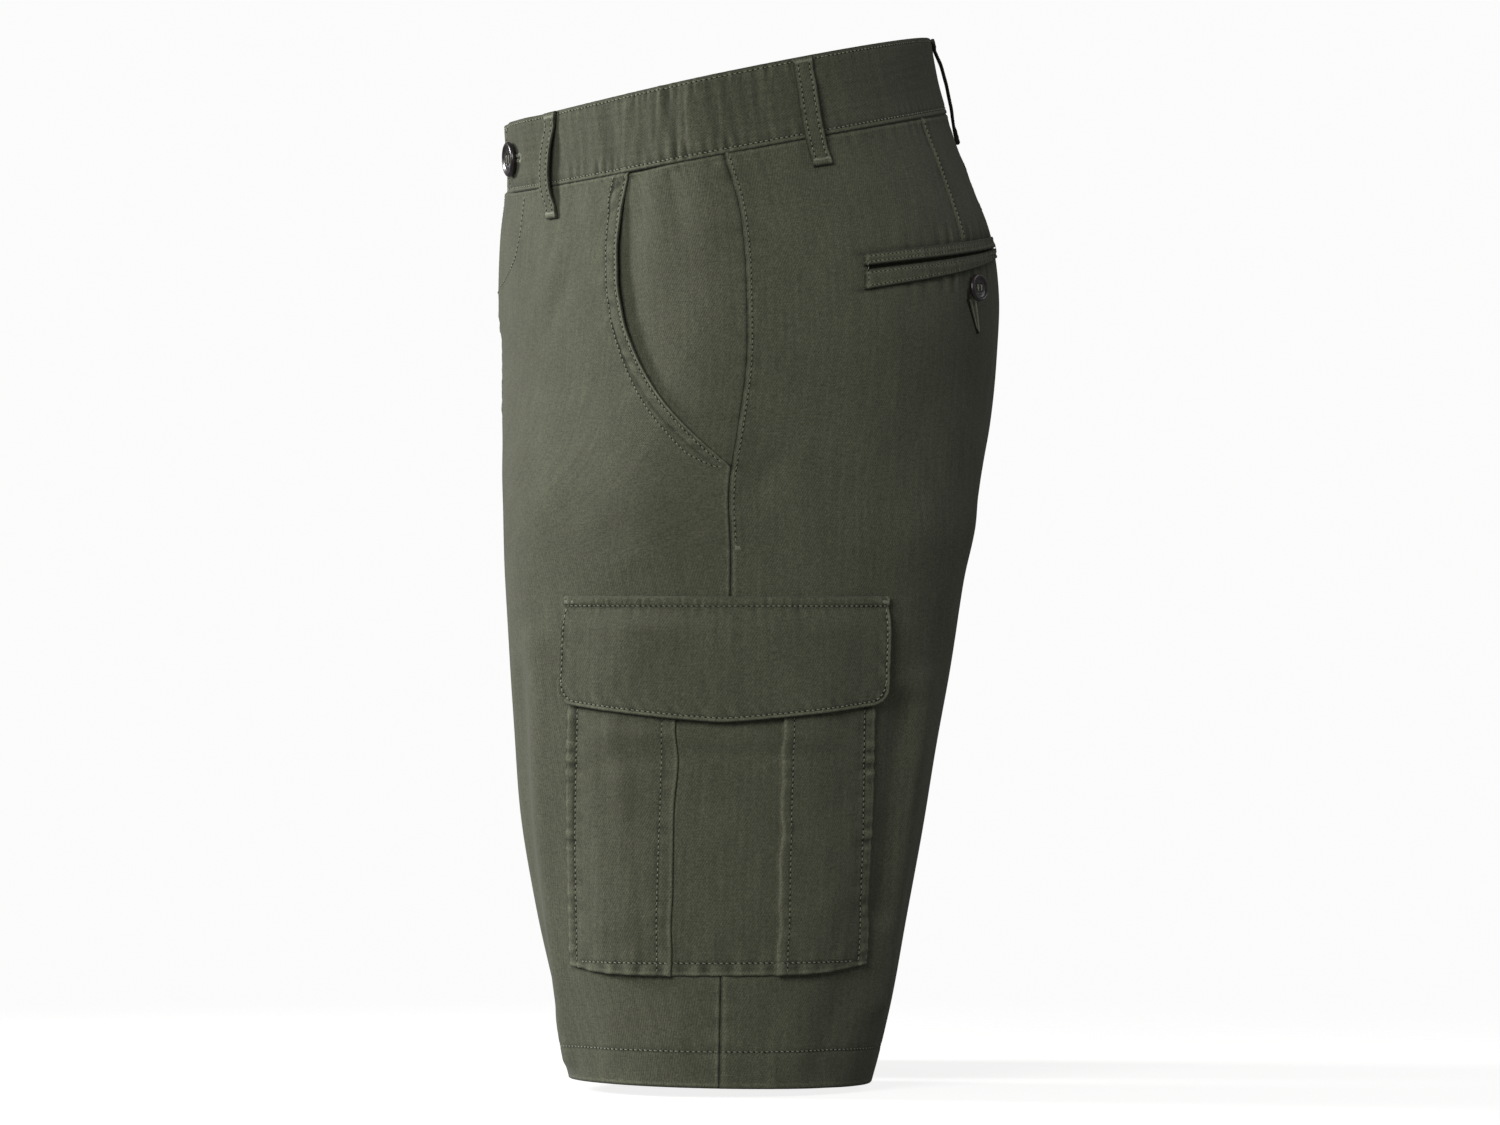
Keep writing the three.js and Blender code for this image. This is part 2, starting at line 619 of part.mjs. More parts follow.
function cargoBag(side) {
  const paths = steps(0, 1, BAG_ROWS - 1).map(bagPath);
  const outer = paths.map((path) => beside(path, BAG_CLOTH / 2));
  const inner = paths.map((path) => beside(path, -BAG_CLOTH / 2));
  const half = (BAG_RIGHT.top - BAG_LEFT.top) / 2;
  return wall(BAG_ROWS, BAG_PATH.length, (i, j) => {
    const bottom = BAG_BOTTOM + BAG_CORNER_RISE * (Math.abs(paths[0][j].x) / half) ** 4;
    const level = mix(BAG_TOP, bottom, i / (BAG_ROWS - 1));
    return [outer, inner].map((line) => cloth(side, seamPlace(level, line[i][j].x), level, line[i][j].y));
  });
}

// The pocket's flap: it is sewn to the leg along its top and lies on the pocket below
const FLAP_SHARES = [0, 0.08, 0.2, 0.45, 0.7, 0.9, 1];
const FLAP_ENDS = [0, 1, 3, 6, FLAP_CORNER];

function flapColumns() {
  const left = FLAP_ENDS.map((d) => FLAP_LEFT + d);
  const right = FLAP_ENDS.map((d) => FLAP_RIGHT - d).reverse();
  const middle = steps(FLAP_LEFT + FLAP_CORNER, FLAP_RIGHT - FLAP_CORNER, 14).slice(1, -1);
  return [...left, ...middle, ...right];
}

// The height of the pocket's face under the flap: its two outer stretches, and straight across the pleat
const BAG_FOLD = BAG_PATH.findIndex((row) => row.u === PLEAT_LEFT - FOLD_OUT) + 1;

function bagFace(u) {
  const path = bagPath(0).filter((point, k) => k < BAG_FOLD || k > BAG_PATH.length - 1 - BAG_FOLD);
  if (u <= path[0].x || u >= path[path.length - 1].x) return LAYER[0] + BAG_CLOTH / 2;
  const i = path.findIndex((point) => point.x > u);
  const t = (u - path[i - 1].x) / (path[i].x - path[i - 1].x);
  return mix(path[i - 1].y, path[i].y, t) + BAG_CLOTH / 2;
}

function flapBottom(u) {
  const half = (FLAP_RIGHT - FLAP_LEFT) / 2;
  const middle = (FLAP_RIGHT + FLAP_LEFT) / 2;
  const straight = mix(FLAP_MIDDLE, FLAP_SIDE, Math.abs(u - middle) / half);
  const distance = Math.min(u - FLAP_LEFT, FLAP_RIGHT - u);
  return straight + cornerCut(distance, FLAP_CORNER);
}

function cargoFlap(side) {
  const columns = flapColumns();
  return wall(FLAP_SHARES.length, columns.length, (i, j) => {
    const u = columns[j];
    const level = mix(FLAP_TOP, flapBottom(u), FLAP_SHARES[i]);
    const onPocket = ease(FLAP_TOP - FLAP_BLEND, BAG_TOP + FLAP_BLEND, level);
    const from = mix(SEAM_GAP, bagFace(u) + SEAM_GAP + FLAP_PLAY, onPocket);
    const g = seamPlace(level, u);
    return [cloth(side, g, level, from + FLAP_CLOTH), cloth(side, g, level, from)];
  });
}

// Buttons: a raised rim round a dished middle with four thread holes
const wasm = await Module();
wasm.setup();

function solid(geometry) {
  const plain = geometry.index ? geometry.toNonIndexed() : geometry.clone();
  plain.deleteAttribute("normal");
  plain.deleteAttribute("uv");
  const merged = mergeVertices(plain, 1e-4);
  const index = merged.index.array;
  const kept = [];
  for (let k = 0; k < index.length; k += 3) {
    const [a, b, c] = [index[k], index[k + 1], index[k + 2]];
    if (a !== b && b !== c && a !== c) kept.push(a, b, c);
  }
  const made = new wasm.Mesh({
    numProp: 3,
    vertProperties: merged.attributes.position.array,
    triVerts: new Uint32Array(kept),
  });
  return new wasm.Manifold(made);
}

function geometryOf(manifold) {
  const mesh = manifold.getMesh();
  const geometry = new THREE.BufferGeometry();
  geometry.setAttribute("position", new THREE.BufferAttribute(new Float32Array(mesh.vertProperties), 3));
  geometry.setIndex([...mesh.triVerts]);
  return geometry;
}

const BUTTON_PROFILE = rows("radius height", [
  [0, 0],
  [0.8, 0],
  [1, 0.42],
  [0.95, 0.85],
  [0.84, 1],
  [0.66, 0.72],
  [0, 0.66],
]);
const BUTTON_SIDES = 20;
const HOLE_SIDES = 6;

function buttonGeometry({ radius, thickness }) {
  const profile = BUTTON_PROFILE.map(
    (row) => new THREE.Vector2(row.radius * radius, row.height * thickness),
  );
  const disc = new THREE.LatheGeometry(profile, BUTTON_SIDES);
  let made = solid(disc);
  const holeRadius = radius * BUTTON_HOLE;
  for (const [x, z] of [[1, 1], [1, -1], [-1, 1], [-1, -1]]) {
    const hole = new THREE.CylinderGeometry(holeRadius, holeRadius, thickness * 3, HOLE_SIDES);
    hole.translate(x * radius * BUTTON_HOLE_OFF, 0, z * radius * BUTTON_HOLE_OFF);
    made = made.subtract(solid(hole));
  }
  return geometryOf(made).rotateX(Math.PI / 2);
}

function sewOn(name, size, side, g, level, out) {
  const mesh = add(name, buttonGeometry(size), BUTTON_BROWN, BUTTON_ROUGHNESS);
  const normal = facing(g, level);
  normal.x *= side;
  mesh.position.copy(cloth(side, g, level, out + BUTTON_GAP));
  mesh.quaternion.setFromUnitVectors(new THREE.Vector3(0, 0, 1), normal);
}

for (const [side, word] of SIDES) {
  add(`front_${word}`, frontPanel(side), OLIVE, TWILL_ROUGHNESS);
  add(`back_${word}`, backPanel(side), OLIVE, TWILL_ROUGHNESS);
  add(`pocket_bearer_${word}`, bearer(side), OLIVE, TWILL_ROUGHNESS);
  add(`waistband_${word}`, waistband(side), OLIVE_BAND, TWILL_ROUGHNESS);
  for (const { name, top, bottom, foot } of [LOOP_FRONT, LOOP_SIDE]) {
    const across = (level, share, w) => seamPlace(level, mix(top, bottom, share) + w);
    add(`belt_loop_${name}_${word}`, loop(side, across, foot), OLIVE, TWILL_ROUGHNESS);
  }
  add(`welt_upper_${word}`, welt(side, WELT_TOP, 0, WELT_SLIT, SLIT / 2), OLIVE, TWILL_ROUGHNESS);
  add(`welt_lower_${word}`, welt(side, WELT_SLIT, SLIT / 2, WELT_BOTTOM, 0), OLIVE, TWILL_ROUGHNESS);
  add(`cargo_pocket_${word}`, cargoBag(side), OLIVE_POCKET, TWILL_ROUGHNESS);
  add(`cargo_flap_${word}`, cargoFlap(side), OLIVE_POCKET, TWILL_ROUGHNESS);
  const place = seamPlace(POCKET_BUTTON_LEVEL, POCKET_BUTTON_FROM_SEAM);
  sewOn(`button_back_${word}`, POCKET_BUTTON, side, place, POCKET_BUTTON_LEVEL, 0);
}
const backLoop = loop(1, (level, share, w) => backPlace(level, w), LOOP_FOOT_BACK);
add("belt_loop_back", backLoop, OLIVE, TWILL_ROUGHNESS);
const waistButtonPlace = frontPlace(WAIST_BUTTON_LEVEL, WAIST_BUTTON_FROM_FRONT);
sewOn("button_waist", WAIST_BUTTON, 1, waistButtonPlace, WAIST_BUTTON_LEVEL, BAND_OUT + OVERLAP_LIFT);

export default shorts;
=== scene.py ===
import math

import bpy
import numpy as np
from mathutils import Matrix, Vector


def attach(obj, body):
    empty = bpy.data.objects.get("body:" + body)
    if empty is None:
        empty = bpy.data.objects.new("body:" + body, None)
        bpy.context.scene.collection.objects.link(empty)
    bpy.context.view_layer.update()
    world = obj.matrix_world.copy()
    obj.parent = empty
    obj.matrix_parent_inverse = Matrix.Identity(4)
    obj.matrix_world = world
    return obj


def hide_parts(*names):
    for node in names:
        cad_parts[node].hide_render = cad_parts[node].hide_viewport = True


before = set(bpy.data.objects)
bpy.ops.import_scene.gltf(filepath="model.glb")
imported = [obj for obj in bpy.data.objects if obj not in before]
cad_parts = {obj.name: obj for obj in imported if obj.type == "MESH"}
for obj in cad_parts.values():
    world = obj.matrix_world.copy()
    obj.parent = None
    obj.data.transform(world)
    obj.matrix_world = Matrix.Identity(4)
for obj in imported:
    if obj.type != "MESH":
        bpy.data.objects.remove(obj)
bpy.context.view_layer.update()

# Cargo shorts of cotton twill, filled out as worn. Sizes below are in millimetres.
MM = 0.001
CLOTH = 1.2
SEAM_GAP = 0.3
WAIST_TOP, WAIST_SEAM, FORK_TOP, FORK, HEM_FOLD, HEM = 16, -27, -136, -234, -491, -512

BAND_OUT, BAND_IN = 0.8, -1.4
BAND_END, BAND_CORNER, UNDER_END = 27, 9, 54
OVERLAP_LIFT, OVERLAP_FROM, OVERLAP_TO = 2.5, 57, 76
GATHER_FRONT, GATHER_BACK, GATHERS, GATHER_DEPTH = -110, 36, 26, 1.5

FLY_LAP, FLY_END, FLY_LIFT, FLY_FLAT, FLY_FADE = 4, -84, 1.5, -97, -116
LOOP_HALF, LOOP_BOW, LOOP_TOP = 5.5, 3.4, 15.5

WELT_FROM, WELT_TO, SLIT, WELT_CLOTH = 63, 212, 1.8, 1.3
WELT_TOP, WELT_SLIT, WELT_BOTTOM = (-82, -77.5), (-89, -82.5), (-99.6, -87)

BAG_CLOTH, BAG_LAYER = 1.0, 1.3
BAG_TOP, BAG_BOTTOM = -268, -453.5
BAG_LEFT, BAG_RIGHT = (-88, -91), (80.5, 85)
PLEAT_LEFT, PLEAT_RIGHT, PLEAT_TUCK = -26, 29, 15
FLAP_LEFT, FLAP_RIGHT, FLAP_TOP, FLAP_SIDE, FLAP_MIDDLE = -93, 87.5, -256, -312, -321.5
FLAP_CORNER, FLAP_CLOTH = 9, 2.0
SLANT_END = -189
MOUTH_LIFT, MOUTH_REACH = 1.3, 12
BEARER_UNDER, BEARER_SINK, BEARER_OPEN, BEARER_LOW, BEARER_DROP = 14, 2.2, -153, -171, 1.3


def rows(columns, lines):
    return [dict(zip(columns.split(), line)) for line in lines]


# The rounds of the cloth, from the waist's top edge to the hem
ROUNDS = rows(
    "level frontY frontZ backY backZ sideX seamY dip frontFull backFull",
    [
        (16, -115.8, -2.7, 112.3, 44.3, 154, -2.5, 2.5, 0.42, 0.6),
        (-27, -114.2, -38.9, 121.5, 4.3, 159, -1, 6.4, 0.43, 0.62),
        (-52, -116.9, -59.9, 134.5, -31.9, 167, 6.6, 5, 0.46, 0.64),
        (-74, -117.7, -83.2, 144.7, -58.9, 174, 9.5, 3, 0.48, 0.65),
        (-103, -117.7, -110.2, 150.1, -94, 180, 10.5, 1, 0.5, 0.66),
        (-135, -117.7, -139.9, 148.8, -130.1, 183.5, 10.2, 0, 0.52, 0.66),
        (-166, -117.7, -167, 144.5, -164, 185, 6.2, 0, 0.54, 0.64),
        (-200, -117.2, -200, 137.6, -199, 186, 1.2, 0, 0.55, 0.6),
        (-234, -116.2, -234, 130.2, -234, 186, 2.1, 0, 0.55, 0.58),
        (-258, -115, -258, 126.2, -258, 186, 1.8, 0, 0.55, 0.56),
        (-311, -112.2, -311, 117.7, -311, 186, 0.4, 0, 0.55, 0.55),
        (-364, -108, -364, 108.3, -364, 186, -1, 0, 0.55, 0.55),
        (-417, -99.8, -417, 98.4, -417, 187, -2.3, 0, 0.55, 0.55),
        (-470, -90, -470, 88.2, -470, 188, -3.4, 0, 0.55, 0.55),
        (-512, -81.8, -510.4, 77.8, -513.4, 189, -4.1, 0, 0.55, 0.55),
    ],
)
LEGS = rows(
    "level frontX backX innerX innerY",
    [
        (-234, 84, 88, 0, 10),
        (-258, 86, 89, 2, 9),
        (-311, 91, 93, 6, 7),
        (-364, 95, 96, 10, 5),
        (-417, 99, 99, 13, 3),
        (-470, 101, 102, 15, 1),
        (-512, 103, 103, 17, 0),
    ],
)
SLANT = rows(
    "level ahead",
    [
        (-27, 56.5), (-46, 67), (-70, 73.8), (-94, 73.2), (-114, 68.4), (-135, 57.4), (-155, 40.8),
        (-171, 23.3), (-189, 0)
    ],
)
# Folds and creases: ridges above 0 and valleys below it. u is measured from the side seam, ahead below 0.
FOLDS = rows(
    "side u0 level0 u1 level1 width height",
    [
        (1, 104, -312, 96, -420, 11, -3),
        (1, 118, -300, 106, -470, 13, 2.2),
        (1, -118, -280, -108, -500, 12, 2),
        (1, -138, -300, -127, -470, 14, -1.6),
        (1, 24, -186, 6, -214, 6, -1.2),
        (1, 74, -455, 58, -505, 12, -1.4),
        (-1, 101, -330, 94, -440, 12, -2.6),
        (-1, 120, -286, 109, -455, 14, 2.4),
        (-1, -108, -296, -102, -496, 13, 2.2),
        (-1, -131, -318, -124, -482, 14, -1.8),
        (-1, 21, -182, 5, -208, 6, -1),
        (-1, 70, -458, 60, -507, 12, -1.2),
    ],
)
CREASES = rows(
    "side u0 level0 u1 level1 width height",
    [
        (1, -118, -62, -150, -98, 9, 0.7),
        (1, -108, -70, -142, -112, 7, -0.6),
        (1, -96, -190, -128, -232, 12, 0.5),
        (1, -30, -222, -74, -246, 9, 0.5),
        (1, 14, -196, 2, -226, 4, 0.7),
        (1, 30, -236, 74, -250, 8, -0.5),
        (1, 92, -232, 128, -206, 13, 0.6),
        (1, 60, -112, 118, -124, 9, 0.45),
        (1, 170, -126, 138, -158, 9, -0.5),
        (1, 176, -118, 206, -150, 10, 0.6),
        (1, 100, -40, 108, -72, 6, 0.35),
        (1, 22, -38, 30, -66, 5, -0.4),
        (1, -66, -462, -58, -508, 9, 0.6),
        (1, 26, -458, 34, -506, 8, -0.6),
        (1, -20, -460, -24, -500, 7, 0.4),
        (1, -160, -206, -118, -236, 14, -0.6),
        (1, 196, -214, 150, -238, 14, 0.7),
        (-1, -114, -58, -152, -90, 8, 0.6),
        (-1, -104, -74, -138, -120, 8, -0.65),
        (-1, -90, -196, -124, -226, 13, 0.55),
        (-1, -24, -226, -70, -250, 8, 0.45),
        (-1, 12, -190, 1, -219, 4, 0.6),
        (-1, 34, -240, 70, -252, 9, -0.4),
        (-1, 96, -226, 134, -210, 12, 0.65),
        (-1, 64, -116, 112, -121, 8, 0.4),
        (-1, 166, -122, 140, -161, 10, -0.45),
        (-1, 180, -124, 208, -146, 9, 0.55),
        (-1, 96, -42, 103, -70, 7, 0.3),
        (-1, -62, -460, -52, -506, 8, 0.55),
        (-1, 30, -462, 36, -508, 9, -0.55),
        (-1, -154, -200, -112, -240, 13, -0.55),
        (-1, 190, -218, 146, -236, 13, 0.65),
    ],
)


def mix(a, b, t):
    return a + (b - a) * t


def ease(start, end, x):
    t = np.clip((x - start) / (end - start), 0, 1)
    return t * t * (3 - 2 * t)


def bump(distance, reach):
    return np.exp(-((distance / reach) ** 2))


def curve(table, column):
    """A smooth curve through one column of a table whose levels fall from row to row."""
    keys = np.array([row["level"] for row in table], float)[::-1]
    values = np.array([row[column] for row in table], float)[::-1]
    span = np.diff(keys)
    secant = np.diff(values) / span
    slope = np.concatenate(
        [
            secant[:1], (secant[:-1] * span[1:] + secant[1:] * span[:-1]) / (span[1:] + span[:-1]),
            secant[-1:]
        ]
    )

    def at(level):
        i = np.clip(np.searchsorted(keys, level) - 1, 0, len(span) - 1)
        t = np.clip((level - keys[i]) / span[i], 0, 1)
        return (
            (2 * t**3 - 3 * t**2 + 1) * values[i]
            + (t**3 - 2 * t**2 + t) * span[i] * slope[i]
            + (3 * t**2 - 2 * t**3) * values[i + 1]
            + (t**3 - t**2) * span[i] * slope[i + 1]
        )

    return at


ROUND = {name: curve(ROUNDS, name) for name in ROUNDS[0]}
LEG = {name: curve(LEGS, name) for name in LEGS[0]}
slant_ahead = curve(SLANT, "ahead")
BEND_STEPS = 96
HALF_COLUMNS = 260


def bend(a, leave, b, arrive, fullness):
    """A quarter bend from a to b that leaves along leave and arrives along arrive."""
    a, b, leave, arrive = (np.array(v, float) for v in (a, b, leave, arrive))
    first = a + leave * fullness * abs((b - a) @ leave)
    second = b - arrive * fullness * abs((b - a) @ arrive)
    t = np.linspace(0, 1, BEND_STEPS + 1)[:, None]
    return (1 - t) ** 3 * a + 3 * (1 - t) ** 2 * t * first + 3 * (1 - t) * t**2 * second + t**3 * b


def inner_quarter(width, middle_x, inner_y, outer_y):
    start = math.acos(min(middle_x / width, 1))
    angle = np.linspace(start, math.pi / 2, BEND_STEPS + 1)
    return np.c_[np.maximum(middle_x - width * np.cos(angle), 0), mix(inner_y, outer_y, np.sin(angle))]


def walked(line):
    run = np.r_[0, np.cumsum(np.linalg.norm(np.diff(line, axis=0), axis=1))]
    at = np.linspace(0, run[-1], HALF_COLUMNS + 1)
    return np.c_[np.interp(at, run, line[:, 0]), np.interp(at, run, line[:, 1])], run[-1]


def round_at(level):
    """One round of the left half as points of g from 0 (front middle) to 2 (back middle), with its lengths."""
    low = min(level, FORK)
    split = float(ease(FORK_TOP, FORK, level))
    front_y, back_y = float(ROUND["frontY"](level)), float(ROUND["backY"](level))
    inner_y = float(LEG["innerY"](low))
    front_x, back_x, inner_x = (float(LEG[k](low)) for k in ("frontX", "backX", "innerX"))
    front, back = (front_x * split, front_y), (back_x * split, back_y)
    side = (float(ROUND["sideX"](level)), float(ROUND["seamY"](level)))
    to_side = bend(front, (1, 0), side, (0, 1), float(ROUND["frontFull"](level)))
    to_back = bend(side, (0, 1), back, (-1, 0), float(ROUND["backFull"](level)))
    if split > 0:
        inner = inner_quarter(front_x - inner_x, front[0], inner_y, front_y)
        to_side = np.vstack([inner[:-1], to_side])
        inner = inner_quarter(back_x - inner_x, back[0], inner_y, back_y)[::-1]
        to_back = np.vstack([to_back, inner[1:]])
    (a, front_length), (b, back_length) = walked(to_side), walked(to_back)
    flat = np.vstack([a, b[1:]])
    g = np.linspace(0, 2, len(flat))
    front_z, back_z = float(ROUND["frontZ"](level)), float(ROUND["backZ"](level))
    z = mix(front_z, back_z, (flat[:, 1] - front_y) / (back_y - front_y))
    z -= float(ROUND["dip"](level)) * np.sin(math.pi * g / 2)
    return np.c_[flat, z], front_length, back_length


TABLE_LEVELS = np.arange(HEM, WAIST_TOP + 1, 1.0)
made = [round_at(level) for level in TABLE_LEVELS]
POINTS = np.array([m[0] for m in made])
FRONT_LENGTH = np.array([m[1] for m in made])
BACK_LENGTH = np.array([m[2] for m in made])
NORMALS = np.cross(np.gradient(POINTS, axis=1), np.gradient(POINTS, axis=0))
NORMALS /= np.linalg.norm(NORMALS, axis=2, keepdims=True)


def front_length(level):
    return np.interp(level, TABLE_LEVELS, FRONT_LENGTH)


def back_length(level):
    return np.interp(level, TABLE_LEVELS, BACK_LENGTH)


def sample(field, g, level):
    r = np.clip(level - HEM, 0, len(TABLE_LEVELS) - 1.0001)
    c = np.clip(g * HALF_COLUMNS, 0, 2 * HALF_COLUMNS - 0.0001)
    r0, c0 = r.astype(int), c.astype(int)
    fr, fc = (r - r0)[..., None], (c - c0)[..., None]
    low = mix(field[r0, c0], field[r0, c0 + 1], fc)
    return mix(low, mix(field[r0 + 1, c0], field[r0 + 1, c0 + 1], fc), fr)


def from_seam(g, level):
    return (g - 1) * np.where(g < 1, front_length(level), back_length(level))


def seam_place(level, u):
    return 1 + u / np.where(np.asarray(u) < 0, front_length(level), back_length(level))


def front_place(level, w):
    return w / front_length(level)


def back_place(level, w):
    return 2 - w / back_length(level)


def waves(x, seed, pitch):
    """Uneven waves along a seam, of about this pitch and of height 1 or less."""
    rng = np.random.default_rng(seed)
    total = 0
    for _ in range(6):
        period = pitch * rng.uniform(0.6, 1.9)
        total = total + rng.uniform(0.5, 1) * np.sin(2 * np.pi * x / period + rng.uniform(0, 2 * np.pi))
    return total / 2.6


def drift(side, u, level):
    """The soft unevenness of cloth that hangs freely."""
    rng = np.random.default_rng(11 if side > 0 else 23)
    total = 0
    for _ in range(22):
        angle, period = rng.uniform(-0.9, 0.9), rng.uniform(38, 130)
        phase = 2 * np.pi * (u * np.cos(angle) + level * np.sin(angle)) / period + rng.uniform(0, 2 * np.pi)
        total = total + (period / 130) ** 0.8 * np.sin(phase)
    return 0.13 * total


def relief(side, u, level):
    height = drift(side, u, level) * ease(WAIST_SEAM, WAIST_SEAM - 24, level)
    for fold, more in [(f, 1.5) for f in FOLDS] + [(c, 1.7) for c in CREASES]:
        if fold["side"] != side:
            continue
        du, dl = fold["u1"] - fold["u0"], fold["level1"] - fold["level0"]
        length = math.hypot(du, dl)
        along = ((u - fold["u0"]) * du + (level - fold["level0"]) * dl) / length
        across = ((u - fold["u0"]) * dl - (level - fold["level0"]) * du) / length
        past = np.maximum(0, np.maximum(-along, along - length))
        taper = (
            1 if abs(fold["height"]) > 0.8
            else ease(0, 0.35 * length, along) * ease(length, 0.65 * length, along)
        )
        height = (
            height
            + more * taper * fold["height"] * bump(across, fold["width"]) * bump(past, fold["width"] * 0.5)
        )
    return height


def cloth(side, g, level, out):
    """Points of the shorts, out millimetres off the cloth's face. g below 0 lies past the middle front."""
    g, level, out = np.broadcast_arrays(
        np.asarray(g, float), np.asarray(level, float), np.asarray(out, float)
    )
    past = (g < 0) | (g > 2)
    place = np.where(g < 0, -g, np.where(g > 2, 4 - g, g))
    u = from_seam(place, level)
    height = out + np.where(past, relief(-side, u, level), relief(side, u, level))
    normal = sample(NORMALS, place, level)
    normal /= np.linalg.norm(normal, axis=-1, keepdims=True)
    point = sample(POINTS, place, level) + normal * height[..., None]
    point[..., 0] = np.maximum(point[..., 0], 0.02) * np.where(past, -side, side)
    return point


def normal_at(side, g, level):
    normal = sample(NORMALS, np.abs(np.asarray(g, float)), np.asarray(level, float))
    normal = normal / np.linalg.norm(normal, axis=-1, keepdims=True)
    return normal * np.array([side, 1, 1])


# Materials
def node_tree(name):
    material = bpy.data.materials.new(name)
    material.use_nodes = True
    tree = material.node_tree
    return material, tree, tree.nodes["Principled BSDF"]


def add_node(tree, kind, **settings):
    node = tree.nodes.new(kind)
    for key, value in settings.items():
        if key in node.inputs:
            node.inputs[key].default_value = value
        else:
            setattr(node, key, value)
    return node


def link(tree, source, target):
    tree.links.new(source, target)


def ramp(tree, source, stops):
    node = tree.nodes.new("ShaderNodeValToRGB")
    node.color_ramp.elements[0].position, node.color_ramp.elements[0].color = stops[0]
    node.color_ramp.elements[1].position, node.color_ramp.elements[1].color = stops[1]
    link(tree, source, node.inputs["Fac"])
    return node.outputs["Color"]


def multiply(tree, first, second, factor=1.0):
    node = tree.nodes.new("ShaderNodeMix")
    node.data_type, node.blend_type = "RGBA", "MULTIPLY"
    node.inputs[0].default_value = factor
    for value, target in ((first, node.inputs[6]), (second, node.inputs[7])):
        if isinstance(value, tuple):
            target.default_value = value
        else:
            link(tree, value, target)
    return node.outputs[2]


def gray(value):
    return (value, value, value, 1)


TWILL_LINES = 1250
TWILL_COLOUR = (0.094, 0.098, 0.0655, 1)


def twill_material():
    material, tree, shader = node_tree("Twill")
    uv = add_node(tree, "ShaderNodeUVMap", uv_map="cloth")
    diagonal = add_node(tree, "ShaderNodeMapping", Rotation=(0, 0, math.radians(27)))
    link(tree, uv.outputs["UV"], diagonal.inputs["Vector"])
    lines = add_node(
        tree, "ShaderNodeTexWave", Scale=TWILL_LINES / 20 * 2 * math.pi / 1.55, Distortion=1.2, Detail=2.0
    )
    lines.inputs["Detail Scale"].default_value = 1.6
    link(tree, diagonal.outputs["Vector"], lines.inputs["Vector"])
    coords = add_node(tree, "ShaderNodeTexCoord")
    fuzz = add_node(tree, "ShaderNodeTexNoise", Scale=1100.0, Detail=3.0, Roughness=0.6)
    slub = add_node(tree, "ShaderNodeMapping", Scale=(160, 1500, 1))
    slub_noise = add_node(tree, "ShaderNodeTexNoise", Scale=1.0, Detail=2.0)
    warp = add_node(tree, "ShaderNodeMapping", Scale=(430, 24, 1))
    warp_noise = add_node(tree, "ShaderNodeTexNoise", Scale=1.0, Detail=3.0)
    link(tree, uv.outputs["UV"], warp.inputs["Vector"])
    link(tree, warp.outputs["Vector"], warp_noise.inputs["Vector"])
    speck = add_node(tree, "ShaderNodeTexNoise", Scale=520.0, Detail=3.0, Roughness=0.65)
    cloud = add_node(tree, "ShaderNodeTexNoise", Scale=42.0, Detail=4.0, Roughness=0.6)
    crease = add_node(tree, "ShaderNodeTexNoise", Scale=130.0, Detail=3.0, Roughness=0.5)
    for node in (fuzz, speck, cloud, crease):
        link(tree, coords.outputs["Object"], node.inputs["Vector"])
    link(tree, uv.outputs["UV"], slub.inputs["Vector"])
    link(tree, slub.outputs["Vector"], slub_noise.inputs["Vector"])
    colour = multiply(
        tree, TWILL_COLOUR, ramp(tree, lines.outputs["Color"], ((0.1, gray(0.86)), (0.9, gray(1.06))))
    )
    colour = multiply(
        tree, colour, ramp(tree, fuzz.outputs["Fac"], ((0.32, gray(0.66)), (0.68, gray(1.32))))
    )
    colour = multiply(
        tree, colour, ramp(tree, speck.outputs["Fac"], ((0.3, gray(0.93)), (0.7, gray(1.07))))
    )
    colour = multiply(
        tree, colour, ramp(tree, slub_noise.outputs["Fac"], ((0.3, gray(0.88)), (0.7, gray(1.1))))
    )
    colour = multiply(
        tree, colour, ramp(tree, warp_noise.outputs["Fac"], ((0.3, gray(0.9)), (0.7, gray(1.1))))
    )
    colour = multiply(
        tree, colour, ramp(tree, cloud.outputs["Fac"], ((0.3, gray(0.92)), (0.7, gray(1.07))))
    )
    # The wear_and_shade attribute scales the cloth's colour: lighter where ribs and edges are worn, darker as
    # painted shade in pressed rows, grooves and along edges, and lighter on the pleat's folds as a painted
    # highlight.
    wear_and_shade = add_node(tree, "ShaderNodeAttribute", attribute_name="wear_and_shade")
    colour = multiply(tree, colour, ramp(tree, wear_and_shade.outputs["Fac"], ((0.0, gray(0.4)), (1.0, gray(1.6)))))
    link(tree, colour, shader.inputs["Base Color"])
    rough = ramp(tree, fuzz.outputs["Fac"], ((0.2, gray(0.82)), (0.8, gray(0.96))))
    link(tree, rough, shader.inputs["Roughness"])
    shader.inputs["Specular IOR Level"].default_value = 0.22
    shader.inputs["Sheen Weight"].default_value = 0.1
    shader.inputs["Sheen Roughness"].default_value = 0.45
    soft = add_node(tree, "ShaderNodeBump", Strength=0.35, Distance=0.0006)
    link(tree, crease.outputs["Fac"], soft.inputs["Height"])
    nap = add_node(tree, "ShaderNodeBump", Strength=0.5, Distance=0.00012)
    link(tree, fuzz.outputs["Fac"], nap.inputs["Height"])
    link(tree, soft.outputs["Normal"], nap.inputs["Normal"])
    weave = add_node(tree, "ShaderNodeBump", Strength=0.55, Distance=0.0001)
    link(tree, lines.outputs["Fac"], weave.inputs["Height"])
    link(tree, nap.outputs["Normal"], weave.inputs["Normal"])
    link(tree, weave.outputs["Normal"], shader.inputs["Normal"])
    return material


